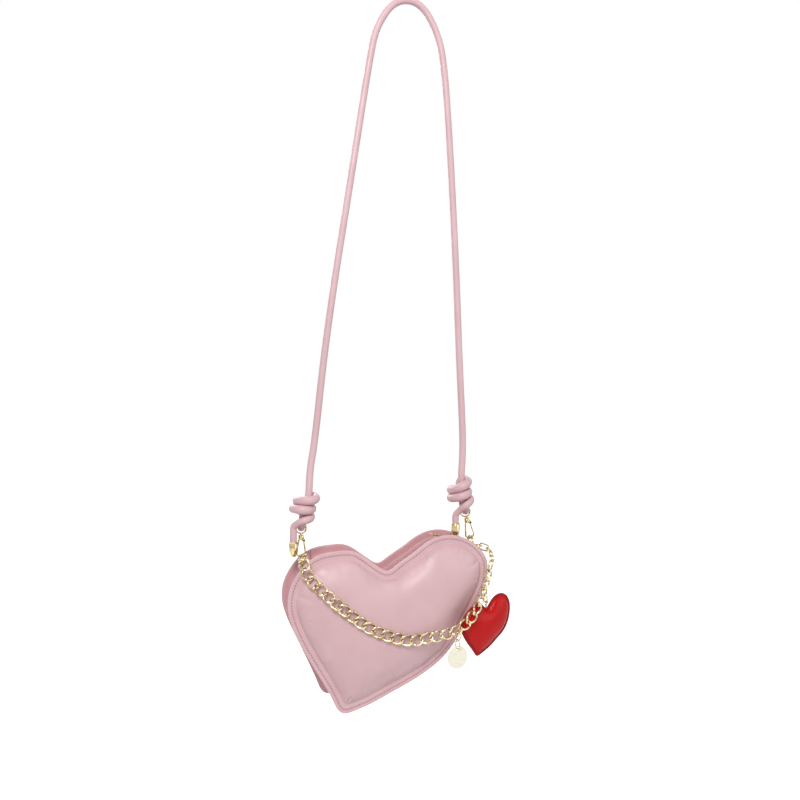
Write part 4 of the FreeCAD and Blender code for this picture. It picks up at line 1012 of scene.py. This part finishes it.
def wall_profile(h):
    """The wall with both its rims, for a half depth."""
    rise = h - RIM - RIM_TURN
    middle = [(FLANGE + BOW * (1 - s * s), s * rise) for s in (-0.6, -0.2, 0.2, 0.6)]
    line = [(d, y - h) for d, y in RIM_FACE] + middle + [(d, h - y) for d, y in RIM_FACE[::-1]]
    line += [(d, h - y) for d, y in RIM_REAR[::-1]]
    line += [(d + WALL, y) for d, y in middle[::-1]]
    return line + [(d, y - h) for d, y in RIM_REAR]


def strip_profile(h):
    """The front strip beside the zip, with its rim."""
    line = [(d, y - h) for d, y in RIM_FACE] + [(d, -ZIP_HALF - y) for d, y in ZIP_LIP]
    return line + [(d, y - h) for d, y in RIM_REAR]


def sided(profile, sign):
    """A front profile for the front, with sign -1, or for the back."""
    return lambda h: [(d, -sign * y) for d, y in profile(h)]


gusset = sweep(wall_run, wall_profile)
# The wall takes the darker leather, with its painted shade
subdivide(new_piece("gusset_leather", gusset, PINK_WALL_SHADED, "pink_leather", "gusset"), 1)
TAPE_PROFILE = (
    (9.95, -12.6), (10.05, -9.0), (9.95, -5.0), (9.95, -0.9), (10.25, -0.8),
    (10.5, -0.9), (10.5, -5.0), (10.6, -9.0), (10.5, -12.6), (10.25, -12.8),
)
# A tooth from above, and its levels with their shares of its width
TOOTH = (
    (-0.62, -3.3), (0.62, -3.3), (0.62, -1.5), (0.85, -1.1), (0.5, -0.5), (-0.5, -0.5),
    (-0.85, -1.1), (-0.62, -1.5),
)
TOOTH_LEVELS = ((-0.72, 0.9), (-0.4, 1.0), (0.35, 1.0), (0.62, 0.86))
TOOTH_PITCH, TOOTH_IN, TEETH_END = 2.4, 9.2, 4.0
ZIP_SEAM_IN, ZIP_SEAM_ASIDE = 8.25, 2.2


def zip_teeth(sign, shift):
    """A row of metal teeth along the zip, each clamped on the tape's edge."""
    line = np.array([wall_place(i, TOOTH_IN, 0.0) for i in zip_run])
    outer = np.array([wall_place(i, TOOTH_IN - 1.0, 0.0) for i in zip_run])
    along = run_lengths(line)
    form = Form()
    for k in range(int((along[-1] - 2 * TEETH_END) / TOOTH_PITCH)):
        distance = TEETH_END + (k + shift) * TOOTH_PITCH
        place = at_length(line, along, distance)
        ahead = at_length(line, along, distance + 0.5) - place
        out = at_length(outer, along, distance) - place
        way = ahead / np.linalg.norm(ahead)
        rise = out / np.linalg.norm(out)
        form.rings([
            [place + way * x * ease + BACK * (-sign * y) + rise * level for x, y in TOOTH]
            for level, ease in TOOTH_LEVELS])
    return form


for name, sign, shift in (("front", -1, 0.0), ("back", 1, 0.5)):
    strip = sweep(zip_run, sided(strip_profile, sign))
    piece = new_piece(
        "zip_strip_leather_" + name, strip, PINK_WALL_SHADED, "pink_leather", "zip_strip_" + name)
    subdivide(piece, 1)
    tape = sweep(zip_run, sided(lambda h: TAPE_PROFILE, sign))
    new_piece("zip_tape_cloth_" + name, tape, TAPE, "zip_cloth", "zip_tape_" + name)
    teeth = zip_teeth(sign, shift)
    piece = new_piece("zip_teeth_metal_" + name, teeth, GOLD, "gold_metal", "zip_teeth_" + name)
    piece.data.set_sharp_from_angle(angle=math.radians(35.0))
    seam = np.array([wall_place(i, ZIP_SEAM_IN, sign * (ZIP_HALF + ZIP_SEAM_ASIDE)) for i in zip_run])
    out = np.array([(-way_in[i][0], 0.0, -way_in[i][1]) for i in zip_run])
    stitch_row("zip_stitches_" + name, seam, out)

# Linings: a heart behind each panel and a strip along the wall
CLOTH = 0.7
LINING_SCALE, LINING_SCALES, LINING_GRID = 0.966, (1.0, 0.97), 8.0
LINING_GAP, LINING_SAG, SAG_POWER, SAG_SHARE = 0.15, 1.6, 0.7, 0.6
LINING_IN, LINING_END = 10.4, 1.2
lining_line = bag_centre + (sew_line - bag_centre) * LINING_SCALE
lining_flat, lining_faces = dome_net(lining_line, bag_centre, LINING_SCALES, LINING_GRID)
lining_sag = LINING_SAG * depth_shares(lining_flat, lining_line) ** SAG_POWER
for name, sign in (("front", -1), ("back", 1)):
    form = Form()
    outer = on_panel(lining_flat, -LINING_GAP - lining_sag * SAG_SHARE, sign)
    inner = on_panel(lining_flat, -LINING_GAP - CLOTH - lining_sag * SAG_SHARE, sign)
    near = form.net(outer, lining_faces)
    far = form.net(inner, [face[::-1] for face in lining_faces])
    form.bridge(near, far, ROUND)
    piece = new_piece(name + "_lining_cloth", form, LINING, "lining_cloth", name + "_lining")


def lining_profile(h):
    """The strip of lining behind the wall, for a half depth."""
    rise = h - LINING_END
    near = [(LINING_IN + BOW * (1 - s * s), s * rise) for s in (-1.0, -0.5, 0.0, 0.5, 1.0)]
    return near + [(d + CLOTH, y) for d, y in near[::-1]]


strip = sweep(wall_run, lining_profile)
piece = new_piece("gusset_lining_cloth", strip, LINING, "lining_cloth", "gusset_lining")

# Heart charm: two puffed skins pressed together along a rim
CHARM_WIDTH, CHARM_HEIGHT, CHARM_RISE, CHARM_RIM, CHARM_SKIN = 61.0, 60.0, 5.0, 3.4, 0.8
CHARM = (
    (0.527, 0.213, 62.0), (0.804, 0.000, 0.0), (1.000, 0.245, -90.0), (0.902, 0.595, -125.0),
    (0.650, 0.817, -140.0), (0.348, 0.994, -150.0), (0.277, 0.950, 118.0), (0.098, 0.702, 122.0),
    (0.000, 0.475, 92.0), (0.173, 0.193, 38.0), (0.339, 0.112, 0.0), (0.486, 0.213, -62.0),
)
CHARM_CENTRE = (0.50, 0.47)
CHARM_NOTCH = 0.5065
CHARM_TURN = math.radians(15.0)
CHARM_ROUND, CHARM_PASSES = 180, 8
CHARM_SCALES, CHARM_GRID, CHARM_POWER = (1.0, 0.97, 0.93, 0.88), 2.4, 0.52
# Inset and height over the rim, from the weld to its edge
CHARM_EDGE = ((3.0, 0.55), (2.4, 0.9), (1.6, 1.0), (0.8, 0.95), (0.25, 0.7), (0.0, 0.0))
eyelet_low, eyelet_high = (np.array(corner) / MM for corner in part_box("heart_eyelet"))
hang_x, hang_y = (eyelet_low[:2] + eyelet_high[:2]) / 2
charm_left = hang_x - CHARM_NOTCH * CHARM_WIDTH
charm_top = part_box("heart_charm_front")[1].z / MM


def charm_point(shares):
    """A place from shares of the charm's width and height."""
    return np.array((charm_left + shares[0] * CHARM_WIDTH, charm_top - shares[1] * CHARM_HEIGHT))


def on_charm(line, height):
    """Places on the charm, turned about its hanging line, this high towards the front."""
    out = np.broadcast_to(np.asarray(height, float), (len(line),))
    x = line[:, 0] - hang_x
    return np.stack([
        hang_x + x * math.cos(CHARM_TURN) + out * math.sin(CHARM_TURN),
        hang_y + x * math.sin(CHARM_TURN) - out * math.cos(CHARM_TURN), line[:, 1]], 1)


charm_nodes = [(charm_point(row), heading(row[2])) for row in CHARM]
charm_line = outline_points(charm_nodes, CHARM_ROUND, CHARM_PASSES)
charm_centre = charm_point(CHARM_CENTRE)
charm_in = unit_rows(inward(charm_line) + unit_rows(charm_centre - charm_line))
weld_line = charm_line + charm_in * CHARM_RIM
charm_flat, charm_faces = dome_net(weld_line, charm_centre, CHARM_SCALES, CHARM_GRID)
charm_height = CHARM_SKIN + CHARM_RISE * depth_shares(charm_flat, weld_line) ** CHARM_POWER
rims = list(CHARM_EDGE) + [(d, -h) for d, h in CHARM_EDGE[-2::-1]]
form = Form()
form.rings([on_charm(charm_line + charm_in * d, h) for d, h in rims], caps=False)
rim_count = len(form.points)
for sign, start in ((1, 0), (-1, rim_count - CHARM_ROUND)):
    faces = [face[::sign] for face in charm_faces]
    form.bridge(start, form.net(on_charm(charm_flat, sign * charm_height), faces), CHARM_ROUND)
piece = new_piece(
    "red_heart", form, RED, "red_gloss", "heart_charm_front", "heart_charm_back", "heart_charm_filling")
rim_share = np.zeros(len(form.points))
rim_share[:rim_count] = 1.0
piece.data.attributes.new("rim", "FLOAT", "POINT").data.foreach_set("value", rim_share)
subdivide(piece, 1)

# Floor, light and white surroundings
FLOOR_Z = -1.25
floor_mesh = bpy.data.meshes.new("floor")
floor_mesh.from_pydata(
    [(-6, -6, FLOOR_Z), (6, -6, FLOOR_Z), (6, 6, FLOOR_Z), (-6, 6, FLOOR_Z)], [], [(0, 1, 2, 3)])
floor = bpy.data.objects.new("floor", floor_mesh)
scene.collection.objects.link(floor)


def seen_straight(tree):
    """1 for rays that see the white surroundings, and 0 for light on the object."""
    path = add_node(tree, "LightPath")
    total = path.outputs["Is Camera Ray"]
    for name in ("Is Glossy Ray", "Is Transmission Ray"):
        node = add_node(tree, "Math")
        node.operation = "MAXIMUM"
        tree.links.new(total, node.inputs[0])
        tree.links.new(path.outputs[name], node.inputs[1])
        total = node.outputs["Value"]
    return total


WHITE = (1.0, 1.0, 1.0, 1.0)
FLOOR_GLOW, DIFFUSE_LEVEL = 0.9, 0.36
floor_material, tree, shader = new_material("pale_floor", Roughness=0.9, Emission_Color=WHITE)
tone = colours(tree, noise(tree, 3.0), (228, 226, 226), (236, 234, 234))
tree.links.new(tone, shader.inputs["Base Color"])
glow = spread(tree, seen_straight(tree), 0.0, FLOOR_GLOW, 0.0, 1.0)
tree.links.new(glow, shader.inputs["Emission Strength"])
floor_mesh.materials.append(floor_material)

world = bpy.data.worlds.new("studio")
world.use_nodes = True
scene.world = world
tree = world.node_tree
ground = tree.nodes["Background"]
ground.inputs["Color"].default_value = WHITE
level = spread(tree, seen_straight(tree), DIFFUSE_LEVEL, 1.0, 0.0, 1.0)
tree.links.new(level, ground.inputs["Strength"])


MIDDLE = Vector((-0.02, 0.0, -0.6))


def lamp(name, place, size, power):
    """A round lamp that looks at the middle of the bag."""
    data = bpy.data.lights.new(name, "AREA")
    data.shape = "DISK"
    data.size = size
    data.energy = power
    item = bpy.data.objects.new(name, data)
    item.location = place
    item.rotation_euler = (MIDDLE - Vector(place)).to_track_quat("-Z", "Y").to_euler()
    scene.collection.objects.link(item)


lamp("key", (-0.55, -1.25, 0.6), 0.7, 20.0)
lamp("fill", (1.3, -1.1, -0.2), 1.2, 5.0)
lamp("rear", (-0.4, 1.6, 0.4), 1.2, 14.0)
